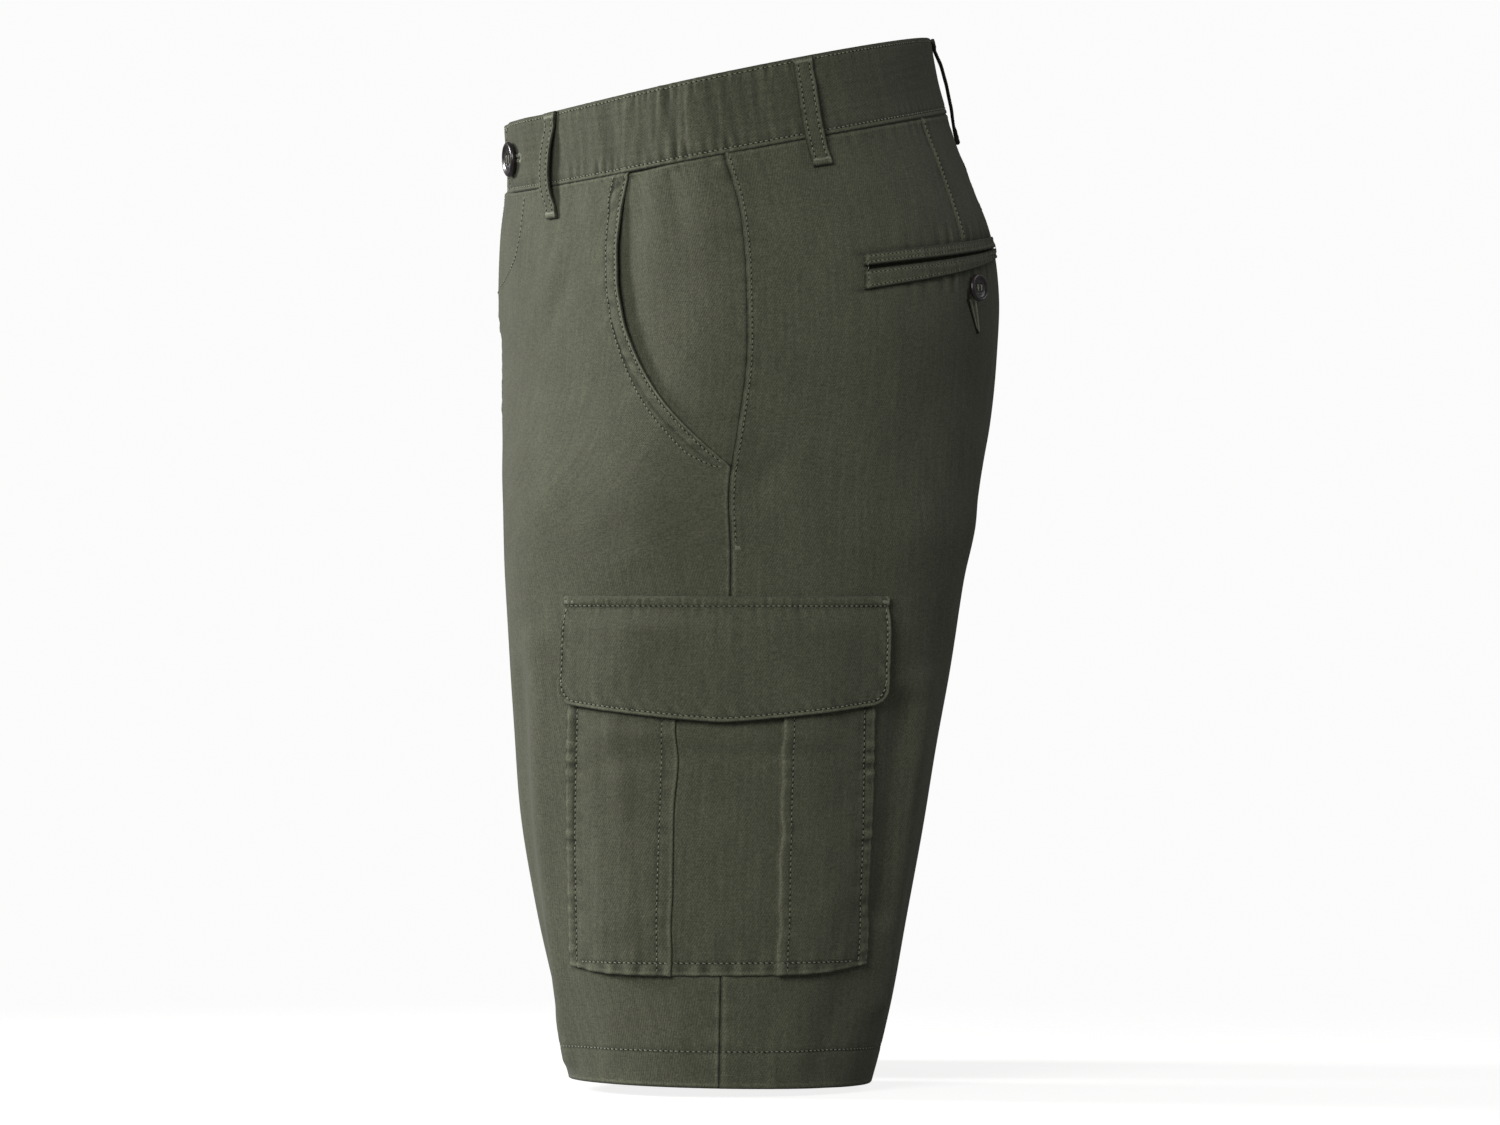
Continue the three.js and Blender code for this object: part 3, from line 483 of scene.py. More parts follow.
def thread_material():
    material, tree, shader = node_tree("Thread")
    coords = add_node(tree, "ShaderNodeTexCoord")
    ply = add_node(tree, "ShaderNodeTexNoise", Scale=2600.0, Detail=2.0)
    cloud = add_node(tree, "ShaderNodeTexNoise", Scale=60.0, Detail=2.0)
    for node in (ply, cloud):
        link(tree, coords.outputs["Object"], node.inputs["Vector"])
    colour = multiply(
        tree, (0.26, 0.268, 0.198, 1), ramp(tree, ply.outputs["Fac"], ((0.3, gray(0.72)), (0.7, gray(1.2))))
    )
    colour = multiply(tree, colour, ramp(tree, cloud.outputs["Fac"], ((0.3, gray(0.9)), (0.7, gray(1.08)))))
    link(tree, colour, shader.inputs["Base Color"])
    shader.inputs["Roughness"].default_value = 0.62
    shader.inputs["Specular IOR Level"].default_value = 0.35
    shader.inputs["Sheen Weight"].default_value = 0.15
    twist = add_node(tree, "ShaderNodeBump", Strength=0.5, Distance=0.0001)
    link(tree, ply.outputs["Fac"], twist.inputs["Height"])
    link(tree, twist.outputs["Normal"], shader.inputs["Normal"])
    return material


# Near-black colour for the needle holes and the open buttonhole's slit: painted shade standing in for the shade
# inside these holes.
def hole_shade_material():
    material, tree, shader = node_tree("Needle hole shade")
    coords = add_node(tree, "ShaderNodeTexCoord")
    grain = add_node(tree, "ShaderNodeTexNoise", Scale=1500.0, Detail=2.0)
    link(tree, coords.outputs["Object"], grain.inputs["Vector"])
    colour = ramp(
        tree, grain.outputs["Fac"], ((0.3, (0.012, 0.0125, 0.009, 1)), (0.7, (0.03, 0.031, 0.022, 1)))
    )
    link(tree, colour, shader.inputs["Base Color"])
    shader.inputs["Roughness"].default_value = 0.95
    shader.inputs["Specular IOR Level"].default_value = 0.1
    return material


def button_material():
    material, tree, shader = node_tree("Button")
    coords = add_node(tree, "ShaderNodeTexCoord")
    streak = add_node(tree, "ShaderNodeTexNoise", Scale=240.0, Detail=4.0, Distortion=1.4)
    scratch = add_node(tree, "ShaderNodeTexNoise", Scale=1700.0, Detail=2.0)
    for node in (streak, scratch):
        link(tree, coords.outputs["Object"], node.inputs["Vector"])
    colour = ramp(
        tree, streak.outputs["Fac"], ((0.35, (0.0075, 0.0055, 0.0062, 1)), (0.75, (0.034, 0.022, 0.022, 1)))
    )
    link(tree, colour, shader.inputs["Base Color"])
    rough = ramp(tree, scratch.outputs["Fac"], ((0.3, gray(0.26)), (0.75, gray(0.42))))
    link(tree, rough, shader.inputs["Roughness"])
    shader.inputs["Coat Weight"].default_value = 0.4
    shader.inputs["Coat Roughness"].default_value = 0.12
    return material


TWILL, THREAD, BUTTON, HOLE_SHADE = twill_material(), thread_material(), button_material(), hole_shade_material()


# Meshes
def make_object(name, points, faces, material, uv=None, wear_and_shade=None):
    mesh = bpy.data.meshes.new(name)
    mesh.from_pydata((np.asarray(points) * MM).tolist(), [], faces)
    mesh.polygons.foreach_set("use_smooth", np.ones(len(mesh.polygons), bool))
    if uv is not None:
        layer = mesh.uv_layers.new(name="cloth")
        corner = np.zeros(len(mesh.loops), np.int32)
        mesh.loops.foreach_get("vertex_index", corner)
        layer.data.foreach_set("uv", (np.asarray(uv)[corner] * MM).astype(np.float32).ravel())
    if wear_and_shade is not None:
        attribute = mesh.attributes.new("wear_and_shade", "FLOAT", "POINT")
        attribute.data.foreach_set("value", np.asarray(wear_and_shade, np.float32))
    mesh.materials.append(material)
    mesh.update()
    made_object = bpy.data.objects.new(name, mesh)
    bpy.context.scene.collection.objects.link(made_object)
    return made_object


def corner_cut(distance, radius):
    left = radius - np.clip(distance, 0, radius)
    return radius - np.sqrt(radius**2 - left**2)


def quads(a, b, c, d):
    return np.stack([a, b, c, d], -1).reshape(-1, 4)


def shell_faces(row_count, column_count, side):
    sheet = row_count * column_count
    at = np.arange(2 * sheet).reshape(2, row_count, column_count)
    o, n = at
    last_r, last_c = row_count - 1, column_count - 1
    parts = [
        quads(o[:-1, :-1], o[1:, :-1], o[1:, 1:], o[:-1, 1:]),
        quads(n[:-1, :-1], n[:-1, 1:], n[1:, 1:], n[1:, :-1]),
        quads(o[:-1, 0], n[:-1, 0], n[1:, 0], o[1:, 0]),
        quads(o[:-1, last_c], o[1:, last_c], n[1:, last_c], n[:-1, last_c]),
        quads(o[0, :-1], o[0, 1:], n[0, 1:], n[0, :-1]),
        quads(o[last_r, :-1], n[last_r, :-1], n[last_r, 1:], o[last_r, 1:]),
    ]
    faces = np.vstack(parts)
    return (faces if side > 0 else faces[:, ::-1]).tolist()


def grid_size(points):
    """The width, length and area of a grid of points, measured along the cloth."""
    across = np.linalg.norm(np.diff(points, axis=1), axis=2)
    down = np.linalg.norm(np.diff(points, axis=0), axis=2)
    a = np.diff(points, axis=1)[:-1]
    b = np.diff(points, axis=0)[:, :-1]
    area = np.linalg.norm(np.cross(a, b), axis=2).sum()
    return across.sum(1).max(), down.sum(0).max(), area


def shell(name, node, side, g, level, top, under, uv, wear_and_shade, points=None):
    """A closed sheet of cloth between two heights over the garment's face, in place of a CAD node."""
    outer, inner = points or (cloth(side, g, level, top), cloth(side, g, level, under))
    faces = shell_faces(*outer.shape[:2], side)
    wear_and_shade = np.broadcast_to(np.clip(wear_and_shade, 0, 1), outer.shape[:2])
    flat_uv = np.concatenate([uv.reshape(-1, 2)] * 2)
    both = np.concatenate([outer.reshape(-1, 3), inner.reshape(-1, 3)])
    made_object = make_object(
        name, both, faces, TWILL, flat_uv, np.concatenate([wear_and_shade.ravel(), wear_and_shade.ravel()])
    )
    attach(made_object, "root")
    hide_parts(node)
    return made_object


# How far from a piece's edge the columns of its mesh lie there
NEAR = np.array([0, 0.1, 0.3, 0.6, 1, 1.5, 2, 2.5, 3.2, 4, 5, 5.7, 6.2, 6.8, 7.5, 8.5, 9.2, 10, 11.5, 13.5, 16])


def spread(width, spacing, dense=()):
    """Places across a piece of this width for each row, closer near its two ends and where dense says."""
    fixed = np.concatenate([NEAR, *[np.arange(*run) for run in dense]])
    middle = int(math.ceil((width.max() - fixed[-1] - NEAR[-1]) / spacing))
    t = np.linspace(0, 1, middle + 1)[1:-1]
    inner = mix(fixed[-1], width[:, None] - NEAR[-1], t)
    left = np.broadcast_to(fixed, (len(width), len(fixed)))
    right = width[:, None] - NEAR[::-1]
    return np.hstack([left, inner, right])


def level_rows(start, end, spacing, dense):
    """Levels from start down to end, closer together where dense ranges (top, bottom, spacing) ask for it."""
    found, level = [start], start
    while level > end:
        step = min([spacing] + [s for top, bottom, s in dense if bottom - 1e-6 < level <= top + spacing])
        level = max(level - step, end)
        found.append(level)
    return np.array(found)


# The panels' own relief
def slant_edge(level):
    return np.where(level > SLANT_END, -slant_ahead(level), 0.0)


def mouth_share(level):
    return np.sin(np.pi * ease(WAIST_SEAM, SLANT_END, level) ** 0.7)


def pulled(distance, along, seed, pitch, reach, size):
    """Puckers along a seam or a row of stitches, fading away from it."""
    return size * bump(distance, reach) * waves(along, seed, pitch)


def waist_broad(u, level):
    """Small folds that the waistband's elastic sends down into the cloth."""
    below = np.maximum(WAIST_SEAM - level, 0)
    zone = ease(-122, -100, u) * ease(52, 30, u)
    free = ease(0, 7, below)
    return free * (
        0.4 * zone * bump(below - 7, 9) * waves(u, 3, 9)
        + 0.8 * zone * bump(below - 14, 26) * waves(u + 0.12 * below, 5, 22)
    )


def waist_fine(u, level):
    below = WAIST_SEAM - level
    return 0.42 * bump(below - 1.5, 0.75) - 0.3 * bump(below - 0.1, 0.5) + pulled(below - 4, u, 7, 6, 4, 0.22)


def hem_fine(side, u, level):
    above = level - HEM_FOLD
    row = -0.42 * bump(above + 1.8, 0.9)
    return row + pulled(above - 1, u, 31 + side, 8, 5, 0.15) + pulled(above + 9, u, 37 + side, 13, 7, 0.14)


def hem_broad(side, u, level):
    return pulled(level - HEM_FOLD + 4, u, 41 + side, 36, 16, 0.35)


def seam_fine(side, u, level):
    return pulled(u, level, 51 + side, 7.5, 6, 0.3)


def seam_broad(side, u, level):
    return pulled(u, level, 55 + side, 29, 20, 0.32)


def middle_fine(side, w, level):
    return pulled(
        w - 5, level, 61 + side, 8, 6, 0.26
    ) - 0.35 * bump(w - 2.2, 0.8) - 0.35 * bump(w - 8, 0.9) - 0.3 * bump(w, 0.8)


def front_fine(side, u, level):
    w = front_length(level) + u
    inside = slant_edge(level) - u
    on_slant = ease(SLANT_END - 6, SLANT_END + 10, level)
    run = level - 0.4 * u
    slanted = (
        0.25 * bump(inside - 0.8, 0.9)
        - 0.42 * bump(inside - 2.4, 0.75)
        - 0.45 * bump(inside - 9.2, 0.9)
        + pulled(inside - 5.8, run, 71 + side, 6.5, 3.6, 0.45)
        + pulled(inside - 12, run, 75 + side, 12, 5, 0.22)
    )
    plain = seam_fine(side, u, level) - 0.4 * bump(u, 1.1)
    below_fly = ease(FLY_END + 4, FLY_END - 4, level)
    return (
        waist_fine(u, level)
        + hem_fine(side, u, level)
        + middle_fine(side, w, level) * below_fly
        + on_slant * slanted
        + (1 - on_slant) * plain
    )


def front_height(side, u, level):
    w = front_length(level) + u
    height = waist_broad(u, level) + hem_broad(side, u, level) + front_fine(side, u, level)
    if side > 0:
        lap = FLY_LAP * (level > FLY_END)
        height = height + FLY_LIFT * ease(FLY_FADE, FLY_FLAT, level) * (1 - ease(8, 30, w + lap))
    inside = slant_edge(level) - u
    height = height + MOUTH_LIFT * mouth_share(level) * bump(inside, MOUTH_REACH)
    on_slant = ease(SLANT_END - 6, SLANT_END + 10, level)
    wavy = 0.45 * bump(inside, 16) * waves(level, 79 + side, 27) * mouth_share(level)
    return height + on_slant * wavy + (1 - on_slant) * seam_broad(side, u, level)


def dart_line(level):
    return np.interp(level, (-78.6, -26.9), (144.3, 133.7))


def welt_share(u):
    return (u - WELT_FROM) / (WELT_TO - WELT_FROM)


HOLE_TOP, HOLE_TIP = -106.5, -122.5
HOLE_LEFT, HOLE_RIGHT = (144.5, 158.8), (153, 158.8)


def hole_share(level):
    return np.clip((HOLE_TOP - level) / (HOLE_TOP - HOLE_TIP), 0, 1)


def hole_shape(u, level):
    """The back buttonhole, pulled open in a V by its button: a deep left side and a raised right lip."""
    t = hole_share(level)
    left, right = mix(*HOLE_LEFT, t), mix(*HOLE_RIGHT, t)
    across = (u - left) / np.maximum(right - left, 0.8)
    ends = ease(HOLE_TIP - 0.6, HOLE_TIP + 1.5, level) * ease(HOLE_TOP + 6, HOLE_TOP, level)
    deep = ease(-0.08, 0.06, across) * ease(1.0, 0.25, across) * (2.3 - 1.2 * t)
    return ends * (0.7 * bump(u - right - 0.6, 2.2) - deep)


def back_fine(side, u, level):
    w = back_length(level) - u
    tacked = ease(-234, -228, level)
    seam = 0.7 * bump(u - 1.2, 1.1) - 0.42 * bump(u - 2.9, 0.7) * tacked + seam_fine(side, u, level)
    dart = u - dart_line(level)
    on_dart = ease(-82, -76, level)
    darted = 0.7 * bump(dart - 1.0, 1.3) - 0.4 * bump(dart + 0.8, 0.8) + pulled(dart, level, 77, 8, 4, 0.2)
    share = welt_share(u)
    round_welt = ease(WELT_FROM - 9, WELT_FROM, u) * ease(WELT_TO + 9, WELT_TO, u)
    above, below = level - mix(*WELT_TOP, share), mix(*WELT_BOTTOM, share) - level
    outside = np.maximum(above, below)
    welted = round_welt * (pulled(outside - 3, u, 81 + side, 7, 5, 0.38) - 0.5 * bump(outside - 0.4, 1.1))
    at = u - (22 if side > 0 else 31)
    crease = ease(-474, -490, level) * (0.75 * bump(at - 2.2, 3.2) - 0.8 * bump(at, 1.5))
    return (
        waist_fine(u, level) + hem_fine(side, u, level) + middle_fine(side, w, level) + seam
        + on_dart * darted + welted + crease
    )


def back_height(side, u, level):
    height = (
        waist_broad(u, level) + hem_broad(side, u, level) + seam_broad(side, u, level)
        + back_fine(side, u, level)
    )
    height = height + 0.45 * ease(8, 4, u) * ease(-250, -228, level) + 0.15 * ease(6, 3, u)
    dart = u - dart_line(level)
    height = height + 0.3 * ease(-84, -74, level) * ease(-1.0, 1.0, dart) * ease(18, 5, dart)
    share = welt_share(u)
    on_welt = ease(WELT_FROM + 1, WELT_FROM + 5, u) * ease(WELT_TO - 1, WELT_TO - 5, u)
    height = height - 4.2 * on_welt * bump(level - mix(*WELT_SLIT, share), 2.6)
    height = height + 0.35 * on_welt * bump(
        level - mix(*WELT_BOTTOM, share) + 8, 9
    ) * waves(u, 85 + side, 40)
    return height + hole_shape(u, level)


def bearer_fine(side, u, level):
    opened = ease(BEARER_LOW, BEARER_OPEN, level)
    return waist_fine(u, level) + (seam_fine(side, u, level) - 0.4 * bump(u, 1.1)) * opened


def bearer_height(side, u, level):
    shown = u - slant_edge(level)
    opened = ease(BEARER_LOW, BEARER_OPEN, level)
    rise = (CLOTH + SEAM_GAP) * ease(6, 30, shown) * opened
    sink = BEARER_SINK * mouth_share(level) * bump(shown, 10)
    height = rise - CLOTH - SEAM_GAP - sink - BEARER_DROP * (1 - opened)
    height = height + waist_broad(u, level) * ease(4, 14, shown) + seam_broad(side, u, level) * opened
    return height + bearer_fine(side, u, level)


def edge_drop(thickness, *distances):
    radius = thickness / 2 * 0.9
    drops = [corner_cut(np.asarray(d, float), radius) for d in distances]
    return np.maximum.reduce(np.broadcast_arrays(*drops))


# Wear and painted shade near a piece's edge: a lighter worn rim a little way in, and painted shade as a darker
# line at the edge itself
RIM_WEAR, RIM_FROM, RIM_WIDTH = 0.42, 1.5, 0.9
PAINTED_EDGE_SHADE, FOLD_WIDTH = 0.6, 0.85


def wear_and_shade_of(fine, *edges):
    """Folded edges and raised ribs lose a little colour to wear; pressed rows and grooves are darkened as
    painted shade, and so is the edge itself.
    """
    worn_and_shaded = 0.5 + 0.62 * np.clip(fine, -0.8, 0.7)
    for distance in edges:
        worn_and_shaded = worn_and_shaded + RIM_WEAR * bump(distance - RIM_FROM, RIM_WIDTH) - PAINTED_EDGE_SHADE * bump(distance, FOLD_WIDTH)
    return worn_and_shaded


def uv_of(across, level):
    across, level = np.broadcast_arrays(across, level)
    return np.stack([across, level], -1)


UNDER_BAND = -24.5
# How far apart the rows and columns of the panels' meshes are
PANEL_ROWS, FRONT_COLUMNS, BACK_COLUMNS, BEARER_ROWS = 3.5, 3.7, 3.8, 3.2
HEM_ROWS = (HEM_FOLD + 8, HEM, 1.3)
WAIST_ROWS = (-31, -48, 1.6)
SEAM_ROWS = (UNDER_BAND, -31, 0.5)


def hem_thickness(level):
    return CLOTH * (1 + ease(HEM_FOLD + 0.3, HEM_FOLD - 0.3, level))


def under_band(level, out):
    """Above the waist seam the cloth lies inside the waistband."""
    return np.where(level > WAIST_SEAM, np.minimum(out, -0.2), out)


def middle_lap(level):
    """The left panels' seam allowance closes the middle seams."""
    return 0.55 * ease(-228, -208, level)


def front_panel(side, word):
    level = level_rows(
        UNDER_BAND, HEM, PANEL_ROWS, [SEAM_ROWS, WAIST_ROWS, (SLANT_END + 12, SLANT_END - 6, 1.6), HEM_ROWS]
    )
    lap = FLY_LAP * ease(-93, FLY_END, level) + middle_lap(level) if side > 0 else 0 * level
    start = -lap
    length = front_length(level)
    width = length + slant_edge(level) - start
    place = spread(width, FRONT_COLUMNS) + start[:, None]
    level = level[:, None] + 0 * place
    u = place - length[:, None]
    out = under_band(level, front_height(side, u, level))
    from_slant, from_fly = slant_edge(level) - u, place - start[:, None]
    thickness = hem_thickness(level)
    drop = edge_drop(CLOTH, from_slant, from_fly, level - HEM)
    size = grid_size(cloth(side, place / length[:, None], level, 0 * out))
    made_object = shell(
        f"front_cloth_{word}",
        f"front_{word}",
        side,
        place / length[:, None],
        level,
        out - drop,
        out - thickness + drop,
        uv_of(place, level),
        wear_and_shade_of(front_fine(side, u, level), from_slant, from_fly, level - HEM),
    )


def back_panel(side, word):
    level = level_rows(
        UNDER_BAND, HEM, PANEL_ROWS, [SEAM_ROWS, WAIST_ROWS, (-78, -102, 1.6), (-102, -125, 1.0), HEM_ROWS]
    )
    length = back_length(level)
    width = length + (middle_lap(level) if side > 0 else 0)
    place = spread(width, BACK_COLUMNS, [(19, 126, BACK_COLUMNS), (126, 168, 1.05)])
    level = level[:, None] + 0 * place
    out = under_band(level, back_height(side, place, level))
    thickness = hem_thickness(level)
    from_middle = width[:, None] - place
    drop = edge_drop(CLOTH, place, from_middle, level - HEM)
    g = 1 + place / length[:, None]
    size = grid_size(cloth(side, g, level, 0 * out))
    made_object = shell(
        f"back_cloth_{word}",
        f"back_{word}",
        side,
        g,
        level,
        out - drop,
        out - thickness + drop,
        uv_of(place, level),
        wear_and_shade_of(back_fine(side, place, level), place - 0.5, level - HEM),
    )


def bearer(side, word):
    level = level_rows(UNDER_BAND, SLANT_END, BEARER_ROWS, [SEAM_ROWS, WAIST_ROWS])
    edge = slant_edge(level)
    width = -edge + BEARER_UNDER
    end = width[:, None] - NEAR[8::-1]
    start = mix(0, width[:, None] - NEAR[8], np.linspace(0, 1, 32)[:-1])
    place = np.hstack([start, end]) + (edge[:, None] - BEARER_UNDER)
    level = level[:, None] + 0 * place
    out = under_band(level, bearer_height(side, place, level))
    drop = edge_drop(CLOTH, -place)
    g = seam_place(level, place)
    size = grid_size(cloth(side, g, level, 0 * out))
    made_object = shell(
        f"pocket_bearer_cloth_{word}",
        f"pocket_bearer_{word}",
        side,
        g,
        level,
        out - drop,
        out - CLOTH + drop,
        uv_of(place + 7, level),
        wear_and_shade_of(bearer_fine(side, place, level)),
    )


# Waistband
def gather(u, level):
    """Elastic gathers: uneven upright ridges, fuller near the side seam and at the band's middle."""
    pitch = (GATHER_BACK - GATHER_FRONT) / GATHERS
    sway = 0.8 * np.sin(level / 13 + 0.05 * u) + 2.2 * waves(u, 93, 31) + 0.6 * waves(u + 0.5 * level, 94, 14)
    k = (u + sway - GATHER_FRONT) / pitch
    index = np.floor(k)
    ridge = 0.5 - 0.5 * np.cos(2 * np.pi * (k - index))
    uneven = np.sin(12.9 * index + 1.3) * np.sin(4.7 * index + 0.4)
    size = 0.5 + 0.5 * uneven + 0.12 * np.sin(2.9 * index + level / 11)
    zone = ease(GATHER_FRONT - 3, GATHER_FRONT + 30, u) * ease(GATHER_BACK + 3, GATHER_BACK - 14, u)
    inside = ease(WAIST_TOP, 9, level) * ease(WAIST_SEAM, -20, level)
    swell = 0.5 * waves(u + 0.15 * level, 91, 24) * inside
    full = mix(0.4, 0.85, ease(-80, -15, u))
    return zone * (full * GATHER_DEPTH * size * ridge * mix(0.35, 0.6, inside) + swell - 0.2)


def band_fine(side, u, level):
    from_top, from_seam_line = WAIST_TOP - 2.2 - level, level - WAIST_SEAM - 2.2
    zone = mix(0.55, 1.3, ease(-120, -70, u) * ease(60, 30, u))
    fine = -0.42 * bump(from_top, 0.75) - 0.45 * bump(from_seam_line, 0.75)
    fine = fine + zone * (
        pulled(from_top - 1.5, u, 95 + side, 5, 4.5, 0.26)
        + pulled(from_seam_line - 2, u, 98 + side, 5.5, 5, 0.34)
    )
    return fine + 0.12 * zone * waves(u + 0.2 * level, 99, 8)


def band_height(side, u, level):
    w = front_length(WAIST_SEAM) + u
    height = BAND_OUT + gather(u, level) + band_fine(side, u, level)
    if side > 0:
        lift = OVERLAP_LIFT * (1 - ease(OVERLAP_FROM, OVERLAP_TO, w))
        height = height + lift * mix(0.25, 1, ease(WAIST_SEAM, WAIST_SEAM + 8, level))
    return height


def waistband(side, word):
    length = float(front_length(WAIST_SEAM))
    back = float(back_length(WAIST_SEAM))
    start = BAND_END if side > 0 else -UNDER_END
    zone = np.arange(length + GATHER_FRONT - 4, length + GATHER_BACK + 4, 1.1)
    head = np.r_[start + NEAR, np.arange(start + 17.5, zone[0] - 0.5, 1.6)]
    tail = np.r_[np.arange(zone[-1] + 1.2, length + back - 17, 1.8), length + back - NEAR[::-1]]
    place = np.r_[head, zone, tail]
    low_edge, top_edge = [0, 0.003, 0.01, 0.022, 0.04, 0.055, 0.075], [0.925, 0.945, 0.96, 0.978, 0.99, 1]
    shares = np.array([*low_edge, *np.linspace(0.1, 0.9, 17), *top_edge])
    cut = corner_cut(place - BAND_END, BAND_CORNER) if side > 0 else 0 * place
    bottom = WAIST_SEAM - 0.4
    level = mix((WAIST_TOP - cut)[None, :], bottom, shares[:, None])
    place = place[None, :] + 0 * level
    u = place - length
    g = np.where(u < 0, place / length, 1 + u / back)
    out = band_height(side, u, level)
    thickness = BAND_OUT - BAND_IN
    from_top, from_bottom = WAIST_TOP - cut - level, level - bottom
    drop = edge_drop(thickness, from_top, from_bottom, place - start)
    under = np.minimum(out, BAND_OUT + 3) - thickness
    if side > 0:
        under = np.maximum(under, BAND_IN)
    size = grid_size(cloth(side, g, level, 0 * out))
    # Its wear_and_shade values: lighter worn ridges of the gathers and rows, with painted shade in the gathers'
    # valleys, the stitch grooves and along the edges.
    made_object = shell(
        f"waistband_cloth_{word}",
        f"waistband_{word}",
        side,
        g,
        level,
        out - drop,
        under + drop,
        uv_of(level, place),
        wear_and_shade_of(
            band_fine(side, u, level) + 0.3 * gather(u, level) - 0.1, from_top, from_bottom, place - start
        ),
    )


# Belt loops
LOOP_SHARES = (0, 0.1, 0.14, 0.32, 0.55, 0.76, 0.88, 0.92, 1)
LOOP_BOWS = (0, 0.05, 0.2, 0.8, 1, 0.75, 0.2, 0.05, 0)


def loop_from(share, level, foot):
    fine = np.linspace(0, 1, 81)
    bow = np.interp(fine, LOOP_SHARES, LOOP_BOWS)
    bow = np.convolve(np.pad(bow, 3, mode="edge"), np.ones(7) / 7, "valid")
    seat = np.where(level > WAIST_SEAM - 4, BAND_OUT, mix(BAND_OUT, 0, ease(WAIST_SEAM - 4, foot, level)))
    return seat + 0.15 + LOOP_BOW * np.interp(share, fine, bow)


def loop_cloth(share):
    ends = ease(0.13, 0.09, share) + ease(0.88, 0.93, share)
    return 1.4 + 0.8 * ends


def loop(side, name, node, across, foot):
    share = np.r_[0, 0.004, 0.012, 0.025, np.linspace(0.04, 0.96, 40), 0.975, 0.988, 0.996, 1]
    half = np.r_[0, 0.15, 0.45, 0.9, 1.6, 2.4, 3.2, 4.2]
    offset = np.r_[half - LOOP_HALF, 0, (LOOP_HALF - half)[::-1]]
    share, offset = np.meshgrid(share, offset, indexing="ij")
    level = mix(LOOP_TOP, foot, share)
    start, thickness = loop_from(share, level, foot), loop_cloth(share)
    side_distance, end_distance = LOOP_HALF - np.abs(offset), np.minimum(share, 1 - share) * (LOOP_TOP - foot)
    radius = 0.62
    drop = np.maximum(corner_cut(side_distance, radius), corner_cut(end_distance, radius))
    groove = 0.3 * bump(np.abs(offset) - 3.1, 0.7)
    groove = groove - 0.14 * waves(level, 107, 6) * bump(side_distance - 1.5, 2)
    # Its wear_and_shade values: painted shade in the stitch grooves and along the edges, with a lighter worn
    # rim just inside them.
    made_object = shell(
        name,
        node,
        side,
        across(level, share, offset),
        level,
        start + thickness - drop - groove,
        start + drop,
        uv_of(offset, level),
        wear_and_shade_of(-1.1 * groove, side_distance, end_distance),
    )


# Back pocket welts
def welt_fine(side, u, level):
    share = welt_share(u)
    fine = 0.24 * waves(u + 0.3 * level, 101 + side, 6.5)
    for line, shift in ((WELT_TOP, -1.6), (WELT_BOTTOM, 1.6), (WELT_SLIT, 2.6), (WELT_SLIT, -2.6)):
        fine = fine - 0.3 * bump(level - mix(*line, share) - shift, 0.7)
    return fine


def welt_height(side, u, level):
    return SEAM_GAP + WELT_CLOTH + 0.1 + welt_fine(side, u, level)


def welt(side, word, part, top, top_gap, bottom, bottom_gap):
    u = np.r_[WELT_FROM + NEAR[:8], np.arange(WELT_FROM + 3.5, WELT_TO - 3, 1.3), WELT_TO - NEAR[7::-1]]
    shares = np.array([0, 0.03, 0.08, 0.15, 0.22, 0.3, 0.4, 0.5, 0.6, 0.7, 0.78, 0.85, 0.92, 0.97, 1])
    share = welt_share(u)
    narrowing = mix(1.15, 0.2, share**1.5)
    upper, lower = mix(*top, share) - top_gap * narrowing, mix(*bottom, share) + bottom_gap * narrowing
    level = mix(upper[None, :], lower[None, :], shares[:, None])
    u = u[None, :] + 0 * level
    ends = np.minimum(u - WELT_FROM, WELT_TO - u)
    drop = np.maximum.reduce(
        [corner_cut(d, 0.6) for d in (upper[None, :] - level, level - lower[None, :], ends)]
    )
    out = welt_height(side, u, level) + 0.25 * np.sin(np.pi * shares)[:, None]
    inner = -0.6
    g = seam_place(level, u)
    size = grid_size(cloth(side, g, level, 0 * out))
    made_object = shell(
        f"welt_{part}_cloth_{word}",
        f"welt_{part}_{word}",
        side,
        g,
        level,
        out - drop,
        inner + 0.5 * drop,
        uv_of(level, u),
        wear_and_shade_of(0.8 * welt_fine(side, u, level), ends, upper[None, :] - level, level - lower[None, :]),
    )


# Cargo pocket: one cloth with an inverted box pleat
LAYER = [SEAM_GAP + BAG_CLOTH / 2 + k * BAG_LAYER for k in range(3)]
TURN = BAG_LAYER / 2
RISE = 40


def outer_stretch(distance):
    """The height of the pocket's cloth at a distance from its side edge, before the pleat."""
    return mix(LAYER[0], LAYER[2], ease(0, RISE, distance)) + 0.5 * bump(distance - 3.5, 3)


def half_turn(centre, top, bottom, out):
    """The cloth's turn at a fold, from the height top to the height bottom."""
    angle = np.linspace(0, np.pi, 9)[1:-1]
    middle = (top + bottom) / 2
    return [(centre + out * TURN * math.sin(a), middle + (top - bottom) / 2 * math.cos(a)) for a in angle]


